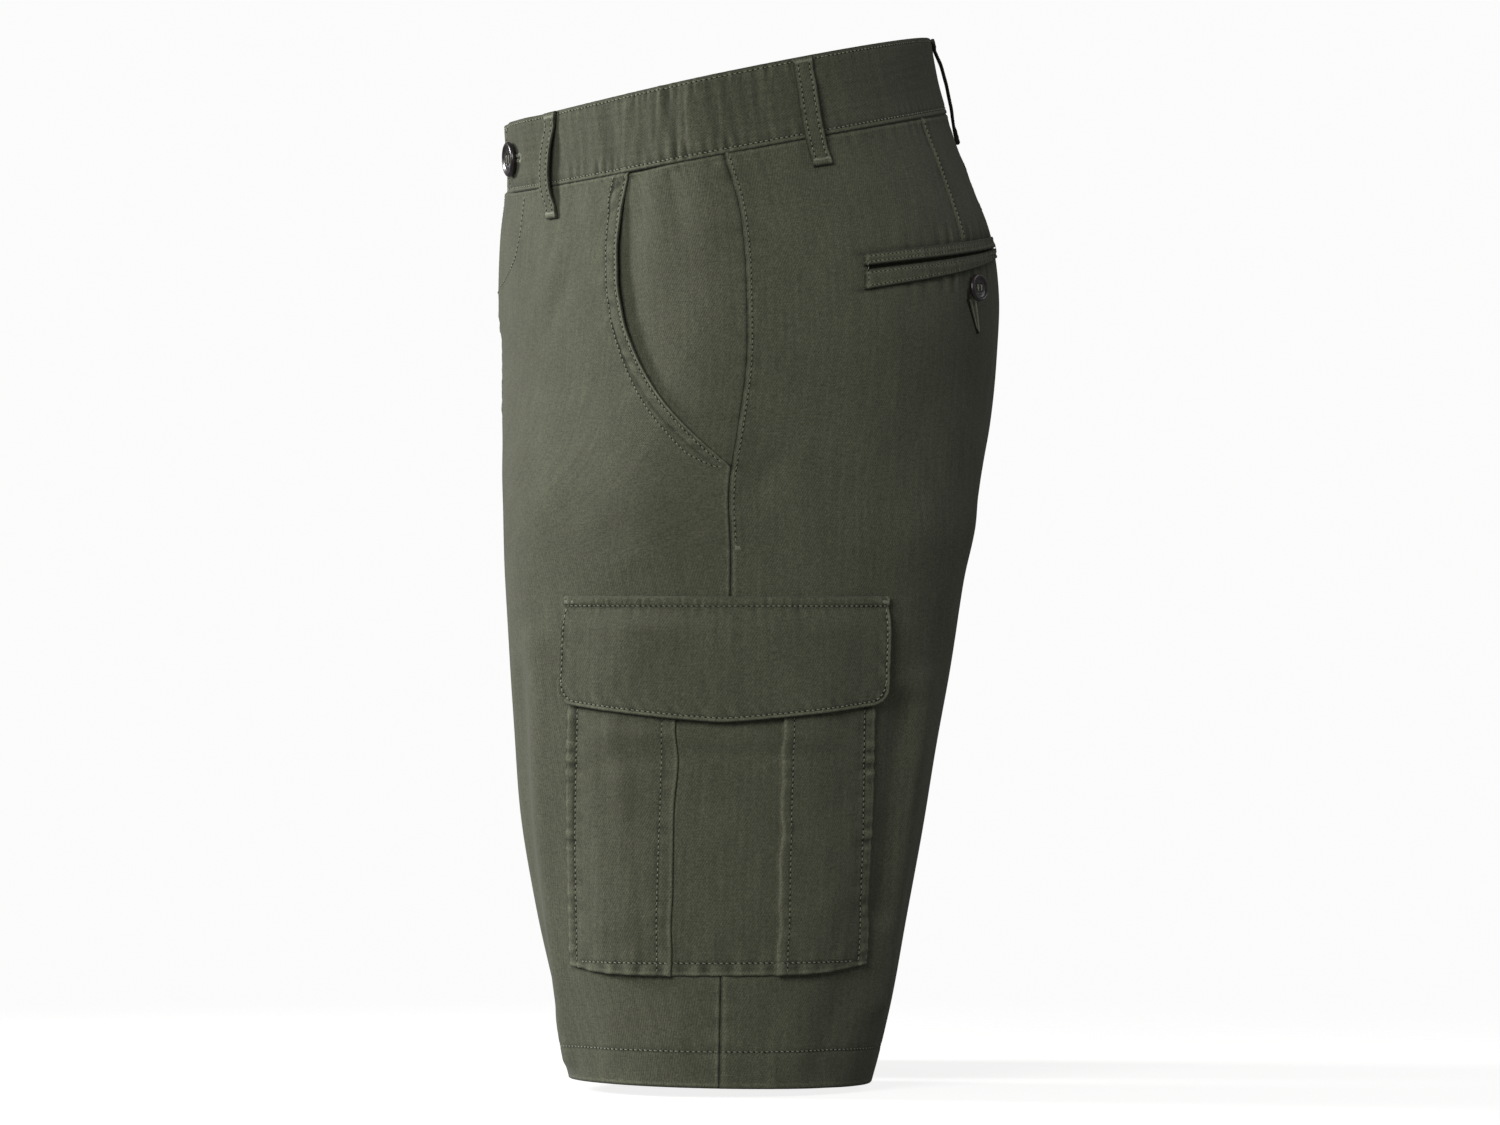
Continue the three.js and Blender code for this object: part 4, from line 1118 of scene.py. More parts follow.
def bag_path(left, right):
    inset = np.r_[NEAR[:18], 11.5, 13.5, 16, 19, 22, 26, 30, 34, 38, 42]
    pts = [(left + d, float(outer_stretch(d))) for d in inset]
    pts += [(x, LAYER[2]) for x in np.linspace(left + 45, PLEAT_LEFT - TURN, 19)]
    pts += half_turn(PLEAT_LEFT - TURN, LAYER[2], LAYER[1], 1)
    pts += [(x, LAYER[1]) for x in np.linspace(PLEAT_LEFT - TURN, PLEAT_LEFT - PLEAT_TUCK, 5)]
    pts += half_turn(PLEAT_LEFT - PLEAT_TUCK, LAYER[1], LAYER[0], -1)
    pts += [(x, LAYER[0]) for x in np.linspace(PLEAT_LEFT - PLEAT_TUCK, PLEAT_LEFT - 2, 5)]
    pts += [(x, LAYER[0]) for x in np.linspace(PLEAT_LEFT, PLEAT_RIGHT, 27)]
    pts += [(x, LAYER[0]) for x in np.linspace(PLEAT_RIGHT + 2, PLEAT_RIGHT + PLEAT_TUCK, 5)]
    pts += half_turn(PLEAT_RIGHT + PLEAT_TUCK, LAYER[0], LAYER[1], 1)
    pts += [(x, LAYER[1]) for x in np.linspace(PLEAT_RIGHT + PLEAT_TUCK, PLEAT_RIGHT + TURN, 5)]
    pts += half_turn(PLEAT_RIGHT + TURN, LAYER[1], LAYER[2], -1)
    pts += [(x, LAYER[2]) for x in np.linspace(PLEAT_RIGHT + TURN, right - 45, 13)]
    pts += [(right - d, float(outer_stretch(d))) for d in inset[::-1]]
    return np.array(pts)


def bag_fine(side, u, level, left, right):
    """Pressed rows of stitches, ribbed edges and the pleat's pulled folds."""
    from_side, from_bottom = np.minimum(u - left, right - u), level - BAG_BOTTOM
    fine = pulled(
        from_side - 3.2, level, 115 + side, 8, 3.4, 0.8
    ) + pulled(from_bottom - 3.2, u, 117 + side, 8, 3.6, 0.6)
    fine = fine + pulled(
        from_side - 9, level, 116 + side, 11, 5, 0.22
    ) + pulled(from_bottom - 10, u, 118 + side, 10, 6, 0.24)
    beside_folds = bump(u - PLEAT_LEFT + 5, 5) + bump(u - PLEAT_RIGHT - 4, 5)
    fine = fine + 0.24 * beside_folds * waves(level, 119 + side, 9)
    rows_pressed = bump(from_side - 6.3, 0.8) + bump(from_bottom - 6.8, 0.8)
    rows_pressed = rows_pressed + 0.8 * (bump(u - PLEAT_LEFT + 7, 0.8) + bump(u - PLEAT_RIGHT - 5, 0.8))
    return fine - 0.45 * rows_pressed


def bag_relief(side, u, level, left, right):
    """What the pocket's cloth does over its own path: puffed stretches, stitched edges and creases."""
    from_bottom = level - BAG_BOTTOM
    edge = np.minimum(np.minimum(u - left, right - u), from_bottom)
    puff = 1.5 * ease(0, 32, edge) * (1 + 0.25 * waves(level, 111 + side, 60))
    middle = ease(PLEAT_LEFT - 6, PLEAT_LEFT + 6, u) * ease(PLEAT_RIGHT + 6, PLEAT_RIGHT - 6, u)
    puff = puff + 0.9 * middle * ease(0, 60, from_bottom) * np.sin(
        np.pi * np.clip((u - PLEAT_LEFT) / 55, 0, 1)
    )
    crease = 1.1 * bump(level + 330 + 0.05 * u, 5) * ease(-84, -60, u) * ease(84, 30, u)
    crease = crease - 1.1 * bump(level + 339 - 0.04 * u, 6) * ease(-84, -60, u) * ease(84, 40, u)
    side_fold = (
        0.8 * bump(u + 62, 6) * waves(level, 112 + side, 48)
        + 0.8 * bump(u - 58, 7) * waves(level, 113 + side, 44)
    )
    side_fold = side_fold + 0.3 * bump(u + 58, 22) * waves(
        u + 0.1 * level, 114 + side, 11
    ) + 0.3 * bump(u - 56, 20) * waves(u, 115 + side, 9)
    hollow = -0.7 * bump(u - right + 24, 8) * ease(BAG_BOTTOM + 20, BAG_BOTTOM + 70, level)
    lifted = 0.9 * ease(9, 0, np.minimum(u - left, right - u)) * ease(0, 6, from_bottom)
    return puff + crease + side_fold + hollow + lifted + bag_fine(side, u, level, left, right)


def fold_sway(side, u, level):
    """The pleat's folds don't run quite straight: how far they stray sideways."""
    held = ease(BAG_BOTTOM, BAG_BOTTOM + 25, level)
    left = bump(u - PLEAT_LEFT + 5, 16) * waves(level, 131 + side, 46)
    right = bump(u - PLEAT_RIGHT - 5, 16) * (
        waves(level, 133 + side, 40) + 0.35 * waves(level, 135 + side, 15)
    )
    return held * 0.9 * (left + right)


def bag_sides(level):
    share = (level - BAG_TOP) / (BAG_BOTTOM - BAG_TOP)
    return mix(*BAG_LEFT, share), mix(*BAG_RIGHT, share)


def bag_height(side, u, level):
    """The face of the pocket's cloth, for what is sewn or lies on it."""
    left, right = bag_sides(level)
    inside = ease(PLEAT_LEFT - 0.01, PLEAT_LEFT + 0.01, u) * ease(PLEAT_RIGHT + 0.01, PLEAT_RIGHT - 0.01, u)
    stretch = mix(LAYER[2], outer_stretch(np.minimum(u - left, right - u)), 1)
    base = mix(stretch, LAYER[0], inside)
    return base + BAG_CLOTH / 2 + bag_relief(side, u, level, left, right)


def bag_bottom(u):
    return BAG_BOTTOM + 4 * np.clip(np.abs(u + 3.75) / 84.25, 0, 1.1) ** 4


def cargo_bag(side, word):
    shares = np.sort(np.r_[np.linspace(0, 0.94, 78), 1 - NEAR[16::-1] / (BAG_TOP - BAG_BOTTOM)])
    points_of = [bag_path(mix(*BAG_LEFT, s), mix(*BAG_RIGHT, s)) for s in shares]
    path = np.array(points_of)
    tangent = np.gradient(path, axis=1)
    normal = np.stack([-tangent[..., 1], tangent[..., 0]], -1)
    normal /= np.linalg.norm(normal, axis=-1, keepdims=True)
    level = mix(BAG_TOP, bag_bottom(path[..., 0]), shares[:, None])
    left, right = bag_sides(level)
    extra = bag_relief(side, path[..., 0], level, left, right)
    arc = np.cumsum(np.linalg.norm(np.diff(path, axis=1, prepend=path[:, :1]), axis=2), axis=1)
    total = arc[:, -1:]
    drop = edge_drop(BAG_CLOTH, arc, total - arc, (1 - shares[:, None]) * (BAG_TOP - BAG_BOTTOM))
    layers = []
    for off in (BAG_CLOTH / 2 - drop, -BAG_CLOTH / 2 + drop):
        moved = path + normal * off[..., None]
        across = moved[..., 0] + fold_sway(side, path[..., 0], level)
        layers.append(cloth(side, seam_place(level, across), level, moved[..., 1] + extra))
    edge = np.minimum(np.minimum(arc, total - arc), level - bag_bottom(path[..., 0]))
    fold = np.minimum(np.abs(path[..., 0] - PLEAT_LEFT), np.abs(path[..., 0] - PLEAT_RIGHT))
    # The light line on the pleat's folded edges (0.5 * bump(fold ...)) is a painted highlight where the folds
    # face the key light; pressed rows and the bag's edge get painted shade.
    made_object = shell(
        f"cargo_pocket_cloth_{word}",
        f"cargo_pocket_{word}",
        side,
        None,
        level,
        None,
        None,
        uv_of(arc, level),
        wear_and_shade_of(bag_fine(side, path[..., 0], level, left, right), edge) + 0.5 * bump(fold - 0.3, 1.0),
        points=layers,
    )


def flap_bottom(u):
    half, middle = (FLAP_RIGHT - FLAP_LEFT) / 2, (FLAP_RIGHT + FLAP_LEFT) / 2
    arched = mix(FLAP_MIDDLE, FLAP_SIDE, np.clip(np.abs(u - middle) / half, 0, 1) ** 1.25)
    distance = np.minimum(u - FLAP_LEFT, FLAP_RIGHT - u)
    return arched + corner_cut(distance, FLAP_CORNER)


def flap_fine(side, u, level):
    below = FLAP_TOP - level
    edge = np.minimum(np.minimum(u - FLAP_LEFT, FLAP_RIGHT - u), level - flap_bottom(u))
    rows_pressed = -0.5 * bump(below - 5.2, 0.8) - 0.42 * bump(edge - 2.4, 0.75) * ease(4, 7, below)
    ribs = ease(0.3, 1.5, below) * ease(6.5, 4, below) * (0.1 + 0.36 * waves(u, 127 + side, 3.0))
    ribs = ribs + pulled(below - 7.5, u, 123 + side, 4.5, 4, 0.18) + pulled(
        edge - 4, u + 0.8 * level, 121 + side, 7.5, 4, 0.34
    )
    return rows_pressed + ribs + 0.2 * bump(edge - 0.7, 0.8)


def flap_height(side, u, level):
    left, right = bag_sides(BAG_TOP)
    from_side = np.minimum(u - left, right - u)
    face = outer_stretch(np.clip(from_side, 0, RISE)) + BAG_CLOTH / 2
    on_bag = ease(FLAP_TOP - 3, BAG_TOP - 6, level)
    from_low = mix(SEAM_GAP, face + 1.5 * ease(0, 32, from_side) + 0.6, on_bag)
    below = FLAP_TOP - level
    strip = 0.75 * ease(0, 1.4, below) * ease(5.2, 3.8, below)
    seam = (
        0.55 * bump(u - 1, 2.6) - 0.45 * bump(u - 7.5, 4) + 0.4 * bump(u + 7, 6) - 0.3 * bump(u - 44, 7)
        + 0.25 * bump(u + 50, 9)
    )
    flare = 0.9 * ease(FLAP_TOP - 20, FLAP_MIDDLE, level) * (0.6 + 0.6 * waves(u, 125 + side, 58))
    fall = 0.6 * ease(6, 22, below) * ease(60, 30, below)
    curl = 0.8 * ease(7, 0, np.minimum(u - FLAP_LEFT, FLAP_RIGHT - u)) * ease(4, 14, below)
    return (
        from_low + FLAP_CLOTH + strip + seam * ease(4, 12, below) + flare + fall + curl
        + flap_fine(side, u, level)
    )


def cargo_flap(side, word):
    inset = np.r_[NEAR[:11], 6, 7.2, 8.4, 9.6, 11, 13, 16]
    u = np.r_[
        FLAP_LEFT + inset, np.linspace(FLAP_LEFT + 17, FLAP_RIGHT - 17, 100), FLAP_RIGHT - inset[::-1]
    ]
    ends = NEAR[:12] / 60
    shares = np.r_[ends, np.linspace(0.125, 0.875, 30), 1 - ends[::-1]]
    bottom = flap_bottom(u)
    level = mix(FLAP_TOP, bottom[None, :], shares[:, None])
    u = u[None, :] + 0 * level
    out = flap_height(side, u, level)
    edges = (u - FLAP_LEFT, FLAP_RIGHT - u, level - bottom[None, :], FLAP_TOP - level)
    drop = edge_drop(FLAP_CLOTH, *edges)
    g = seam_place(level, u)
    size = grid_size(cloth(side, g, level, 0 * out))
    worn_and_shaded = flap_fine(side, u, level)
    made_object = shell(
        f"cargo_flap_cloth_{word}",
        f"cargo_flap_{word}",
        side,
        g,
        level,
        out - drop,
        out - FLAP_CLOTH + drop,
        uv_of(u, level),
        wear_and_shade_of(worn_and_shaded, *edges[:3]),
    )


# Thread
THREAD_SIDES = 4
RING = np.linspace(0, 2 * np.pi, THREAD_SIDES + 1)[:-1] + np.pi / 4
STITCH_ENDS = np.array([-0.5, -0.3, 0.3, 0.5])
STITCH_SIZE = np.array([0.55, 1, 1, 0.55])


def stitches(centre, along, up, length, radius):
    """Points and faces of one short thread at each centre, its two ends sunk in the cloth."""
    along = along / np.linalg.norm(along, axis=1, keepdims=True)
    across = np.cross(along, up)
    across /= np.linalg.norm(across, axis=1, keepdims=True)
    up = np.cross(across, along)
    count = len(centre)
    high = np.array([-1.3, 0.15, 0.15, -1.3]) * radius
    mid = (
        centre[:, None] + along[:, None] * (STITCH_ENDS * length)[None, :, None]
        + up[:, None] * high[None, :, None]
    )
    ring = (
        np.cos(RING)[None, None, :, None] * across[:, None, None]
        + np.sin(RING)[None, None, :, None] * up[:, None, None]
    )
    points = (mid[:, :, None] + ring * (radius * STITCH_SIZE)[None, :, None, None]).reshape(-1, 3)
    k, n = np.arange(THREAD_SIDES), THREAD_SIDES
    base = np.concatenate(
        [
            np.stack([r * n + k, r * n + (k + 1) % n, (r + 1) * n + (k + 1) % n, (r + 1) * n + k], 1)
            for r in range(3)
        ]
    )
    shift = 4 * n * np.arange(count)
    sides = (base[None] + shift[:, None, None]).reshape(-1, 4).tolist()
    caps = (
        [list(range(s + n - 1, s - 1, -1)) for s in shift]
        + [list(range(s + 3 * n, s + 4 * n)) for s in shift]
    )
    return points, sides + caps


# A row's stitches: how far apart, how slanted, and the radius of those pressed flat
PITCH, STITCH_SLANT, FLAT = 2.9, 0.16, 0.25


class Threads:
    """All the thread of one part of the garment, joined in one mesh."""

    def __init__(self):
        self.points, self.faces, self.count = [], [], 0
        self.marks = None

    def put(self, points, faces):
        self.points.append(points)
        self.faces += [[i + self.count for i in face] for face in faces]
        self.count += len(points)

    def mark(self, centre, along, up):
        """Painted shade in the needle holes between the stitches of a row: small near-black pieces sunk in the
        cloth.
        """
        if self.marks is None:
            self.marks = Threads()
        self.marks.put(*stitches(centre - up * 0.14, along, up, 1.2, 0.4))

    def row(self, side, place, high, pitch=PITCH, radius=0.34, fill=0.68):
        """A row of stitches along place(t), t from 0 to 1, which gives g and level arrays, at height high."""
        t = np.linspace(0, 1, 900)
        g, level = place(t)
        line = cloth(side, g, level, high(g, level) + 0.1)
        up = normal_at(side, g, level)
        self.along(line, up, pitch, radius, fill)

    def along(self, line, up, pitch=PITCH, radius=0.34, fill=0.68):
        run = np.r_[0, np.cumsum(np.linalg.norm(np.diff(line, axis=0), axis=1))]
        count = max(int(run[-1] / pitch), 1)
        middle = (np.arange(count) + 0.5) * run[-1] / count
        at = lambda values, s: np.stack([np.interp(s, run, values[:, i]) for i in range(3)], 1)
        half = 0.4 * pitch
        direction = at(line, np.minimum(middle + half, run[-1])) - at(line, np.maximum(middle - half, 0))
        direction = direction + STITCH_SLANT * np.cross(direction, at(up, middle))
        self.put(*stitches(at(line, middle), direction, at(up, middle), pitch * fill, radius))
        between = (middle[1:] + middle[:-1]) / 2
        if len(between):
            self.mark(
                at(line, between), at(line, between + half) - at(line, between - half), at(up, between)
            )

    def bar(self, side, place, high, width, count, length, radius=0.22):
        """A bar-tack: count stitches side by side across a width, each length long along the level."""
        s = np.linspace(-0.5, 0.5, count) * width
        g, level = place(s)
        g_low, level_low = place(s + 0.3)
        centre = cloth(side, g, level, high + 0.1)
        other = cloth(side, g, level - 1, high + 0.1)
        across = cloth(side, g_low, level_low, high + 0.1) - centre
        along = other - centre + 0.25 * across / np.linalg.norm(across, axis=1, keepdims=True)
        self.put(*stitches(centre, along, normal_at(side, g, level), length, radius))

    def finish(self, name, material=None, slot="thread"):
        made_object = make_object(name, np.concatenate(self.points), self.faces, material or THREAD)
        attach(made_object, "root")
        # The needle holes' painted shade pieces become a mesh of their own.
        if self.marks:
            self.marks.finish(name.replace("thread", "needle_hole_shade"), HOLE_SHADE, "twill")


def straight(u0, level0, u1, level1):
    def place(t):
        level = mix(level0, level1, t)
        return seam_place(level, mix(u0, u1, t)), level

    return place


def through(*knots):
    """A smooth line of g and level through knots of (u, level)."""
    knots = np.array(knots, float)
    run = np.r_[0, np.cumsum(np.linalg.norm(np.diff(knots, axis=0), axis=1))]

    def place(t):
        s = t * run[-1]
        u, level = np.interp(s, run, knots[:, 0]), np.interp(s, run, knots[:, 1])
        width = max(len(t) // 24, 1)
        soft = lambda v: np.convolve(
            np.pad(v, width, mode="edge"), np.ones(2 * width + 1) / (2 * width + 1), "valid"
        )
        u, level = soft(u), soft(level)
        return seam_place(level, u), level

    return place


def on(height, side):
    return lambda g, level: height(side, from_seam(np.clip(np.abs(g), 0, 2), level), level)


def panel_threads(side, word):
    threads = Threads()
    front, back = on(front_height, side), on(back_height, side)
    for inset in (2.2, 9.2):
        low = SLANT_END if inset < 5 else SLANT_END - 9

        def slanted(t, inset=inset, low=low):
            level = mix(WAIST_SEAM - 1, low + inset * 0.9, t)
            slope = np.gradient(slant_edge(level), level)
            shift = inset * np.sqrt(1 + slope**2) * ease(SLANT_END - 10, SLANT_END + 8, level)
            return seam_place(
                level, slant_edge(level) - np.maximum(np.minimum(shift, inset * 1.7), 0.4)
            ), level

        threads.row(side, slanted, front, radius=FLAT)
    threads.row(side, straight(2.6, WAIST_SEAM - 1, 2.6, -231), back, radius=FLAT)
    threads.row(side, straight(-150, -492.8, -0.5, -492.8), front)
    threads.row(side, straight(0.5, -492.8, 160, -492.8), back)
    hem_front, hem_back = float(front_length(-492.8)), float(back_length(-492.8))
    threads.row(side, straight(-hem_front + 0.5, -492.8, -150, -492.8), front)
    threads.row(side, straight(160, -492.8, hem_back - 0.5, -492.8), back)
    threads.row(
        side, lambda t: (seam_place(mix(-28, -78, t), dart_line(mix(-28, -78, t)) + 1.6), mix(-28, -78, t)),
        back, 2.6, 0.16
    )
    if side > 0:
        threads.row(
            1, through(*[(w - float(front_length(level)), level) for w, level in FLY_STITCH]), front
        )
        threads.row(
            1, lambda t: (front_place(mix(-28, FLY_END, t), -FLY_LAP + 2.2), mix(-28, FLY_END, t)), front
        )
    for w in (2.2, 8):
        own = 1 if w < 5 else side
        threads.row(
            own * side if w > 5 else side, lambda t,
            w=w: (back_place(mix(-28, -228, t), w), mix(-28, -228, t)), back
        )
        threads.row(
            side, lambda t, w=w: (front_place(mix(FLY_END - 2, -228, t), w), mix(FLY_END - 2, -228, t)),
            front
        )
    threads.bar(side, lambda s: (seam_place(-231 + 0 * s, 2.6 + s), -231 + 0 * s), 0.5, 4.2, 9, 2.6)
    threads.finish(f"panel_thread_{word}")


FLY_STITCH = [
    (50, -29), (53.5, -42), (55, -52.8), (53.5, -60), (49, -66.6), (41, -72), (30, -75.8), (16, -80),
    (3, -85)
]


def band_threads(side, word):
    threads = Threads()
    length = float(front_length(WAIST_SEAM))
    back = float(back_length(WAIST_SEAM))
    first = BAND_END + 2.3 if side > 0 else -UNDER_END + 2.3
    start = first - length

    def level_row(from_u, to_u, level):
        def place(t):
            u = mix(from_u, to_u, t)
            cut = corner_cut(u + length - BAND_END - 2.3, BAND_CORNER - 2.3) if side > 0 else 0
            at = np.minimum(level, WAIST_TOP - 2.2 - cut)
            return np.where(u < 0, (u + length) / length, 1 + u / back), at + 0 * u

        return place

    high = lambda g, level: band_height(side, np.where(g < 1, (g - 1) * length, (g - 1) * back), level)
    for level in (WAIST_TOP - 2.2, WAIST_SEAM + 2.2):
        for from_u, to_u in ((start, -60), (-60, 60), (60, back - 0.6)):
            threads.row(side, level_row(from_u, to_u, level), high, 2.8)
    end = lambda t: ((first + 0 * t) / length, mix(WAIST_TOP - 2.2 - 5, WAIST_SEAM + 2.2, t))
    threads.row(side, end, high)
    threads.finish(f"band_thread_{word}")


def loop_threads(side, name, across, foot):
    threads = Threads()
    high = lambda share, level: loop_from(share, level, foot) + loop_cloth(share) - 0.12
    for offset in (-3.1, 3.1):
        share = np.linspace(0.03, 0.97, 300)
        level = mix(LOOP_TOP, foot, share)
        g = across(level, share, offset)
        threads.along(cloth(side, g, level, high(share, level)), normal_at(side, g, level), 2.8, FLAT)
    for share in (0.045, 0.955):
        level = mix(LOOP_TOP, foot, share)
        place = lambda s: (across(level, share, s), level + 0 * s)
        threads.bar(side, place, float(high(np.array(share), np.array(level))) - 0.1, 9.2, 22, 1.9, 0.21)
    threads.finish(name)


def pocket_threads(side, word):
    threads = Threads()
    bag, flap, welts = on(bag_height, side), on(flap_height, side), on(welt_height, side)
    inset, low = 6.3, BAG_BOTTOM + 6.8
    for edge, sign in ((BAG_LEFT, 1), (BAG_RIGHT, -1)):
        knots = straight(edge[0] + sign * inset, -300, edge[1] + sign * inset, low)
        threads.row(side, knots, bag, radius=FLAT)
    for u0, u1 in (
        (-81.5, PLEAT_LEFT - 0.8), (PLEAT_LEFT + 0.8, PLEAT_RIGHT - 0.8), (PLEAT_RIGHT + 0.8, 74.5)
    ):
        threads.row(side, straight(u0, low, u1, low), bag)
    threads.row(side, straight(PLEAT_LEFT - 7, -312, PLEAT_LEFT - 7, BAG_BOTTOM + 1.5), bag, radius=FLAT)
    threads.row(side, straight(PLEAT_RIGHT + 5, -312, PLEAT_RIGHT + 5, BAG_BOTTOM + 1.5), bag, radius=FLAT)
    threads.row(side, straight(FLAP_LEFT + 1.5, FLAP_TOP - 5, FLAP_RIGHT - 1.5, FLAP_TOP - 5), flap)

    def edge_row(t):
        u = mix(FLAP_LEFT + 2.3, FLAP_RIGHT - 2.3, t)
        shrink = lambda v: mix(
            FLAP_LEFT, FLAP_RIGHT, (v - FLAP_LEFT - 2.3) / (FLAP_RIGHT - FLAP_LEFT - 4.6)
        )
        level = flap_bottom(shrink(u)) + 2.3
        return seam_place(level, u), level

    threads.row(side, edge_row, flap)
    threads.row(side, straight(FLAP_LEFT + 2.3, -262, FLAP_LEFT + 2.3, -302), flap)
    threads.row(side, straight(FLAP_RIGHT - 2.3, -262, FLAP_RIGHT - 2.3, -302), flap)
    for (a, b), shift in ((WELT_TOP, -1.6), (WELT_BOTTOM, 1.6), (WELT_SLIT, 2.6), (WELT_SLIT, -2.6)):
        threads.row(side, straight(WELT_FROM + 1.6, a + shift, WELT_TO - 1.6, b + shift), welts, 2.6, 0.2)
    for u in (WELT_FROM + 1.8, WELT_TO - 1.8):
        share = welt_share(u)
        threads.row(
            side, straight(u, mix(*WELT_TOP, share) - 2, u, mix(*WELT_BOTTOM, share) + 2), welts, 2.4, 0.2
        )
    for edge in (FLAP_LEFT + 4, FLAP_RIGHT - 4):
        threads.bar(
            side, lambda s, edge=edge: (seam_place(FLAP_TOP - 3 + 0 * s, edge + s), FLAP_TOP - 3 + 0 * s),
            2.9, 6, 12, 2.4
        )
    threads.finish(f"pocket_thread_{word}")


# Buttonholes: close stitches round a slit, with an eyelet at one end
def buttonhole(name, side, start, end, height, eyelet):
    threads = Threads()
    a, b = np.array(start, float), np.array(end, float)
    axis = (b - a) / np.linalg.norm(b - a)
    cross = np.array([-axis[1], axis[0]])
    length = np.linalg.norm(b - a)
    outline = [a + axis * s + cross * 0.9 for s in np.linspace(0, length - eyelet, 30)]
    if eyelet:
        centre = a + axis * length
        outline += [
            centre + eyelet * (-math.cos(q) * axis + math.sin(q) * cross)
            for q in np.linspace(0.5, 2 * np.pi - 0.5, 26)
        ]
    outline += [a + axis * s - cross * 0.9 for s in np.linspace(length - eyelet, 0, 30)]
    line = np.array(outline)
    run = np.r_[0, np.cumsum(np.linalg.norm(np.diff(line, axis=0), axis=1))]
    at = np.arange(0, run[-1], 0.52)
    u, level = np.interp(at, run, line[:, 0]), np.interp(at, run, line[:, 1])
    tangent = np.stack([np.gradient(u), np.gradient(level)], 1)
    tangent /= np.linalg.norm(tangent, axis=1, keepdims=True)
    outward = np.stack([tangent[:, 1], -tangent[:, 0]], 1)
    if ((line.mean(0) - line[0]) @ outward[0]) > 0:
        outward = -outward
    u, level = u + outward[:, 0] * 0.55, level + outward[:, 1] * 0.55
    far_u, far_level = u + outward[:, 0] * 0.5, level + outward[:, 1] * 0.5
    g, far_g = seam_place(level, u), seam_place(far_level, far_u)
    high = height(u, level)
    centre = cloth(side, g, level, high + 0.12)
    reach = cloth(side, far_g, far_level, high + 0.12) - centre
    threads.put(*stitches(centre, reach, normal_at(side, g, level), 2.0, 0.27))
    threads.finish(name)


def open_buttonhole(name, side, height):
    threads, steps = Threads(), np.linspace(HOLE_TOP, HOLE_TIP + 0.4, 34)
    t = hole_share(steps)
    left, right = mix(*HOLE_LEFT, t), mix(*HOLE_RIGHT, t)

    def put(target, u, length, radius, turn, rise):
        place = lambda shift, fall: cloth(
            side, seam_place(steps - fall, u + shift), steps - fall, height(u, steps) + rise
        )
        centre = place(0, 0)
        up = normal_at(side, seam_place(steps, u), steps)
        target.put(*stitches(centre, place(turn[0], turn[1]) - centre, up, length, radius))

    put(threads, mix(left, right, 0.72), 3.4, 0.3, (0.5, 0.1), 0.1)
    put(threads, right + 1.1, 2.0, 0.3, (0.5, 0.1), 0.15)
    # Near-black pieces inside the pulled-open slit: painted shade standing in for the darkness of the hole.
    threads.marks = Threads()
    for across, shift, rise in ((0, -0.7, 0.0), (0.06, 0.1, 0.9), (0.18, 0.2, 0.4), (0.3, 0.2, 0.25)):
        put(threads.marks, mix(left, right, across) + shift, 1.3, 0.6, (0.5, 0.5), rise)
    threads.finish(name)


# Buttons: a raised rim round a dished middle with four thread holes
BUTTON_PROFILE = [
    (0, 0), (0.78, 0), (0.9, 0.1), (0.975, 0.28), (1, 0.5), (0.99, 0.7), (0.95, 0.88), (0.9, 0.97), (0.84, 1),
    (0.78, 0.96), (0.73, 0.86), (0.68, 0.76), (0.62, 0.71), (0.5, 0.68), (0, 0.66),
]
BUTTON_SIDES = 64


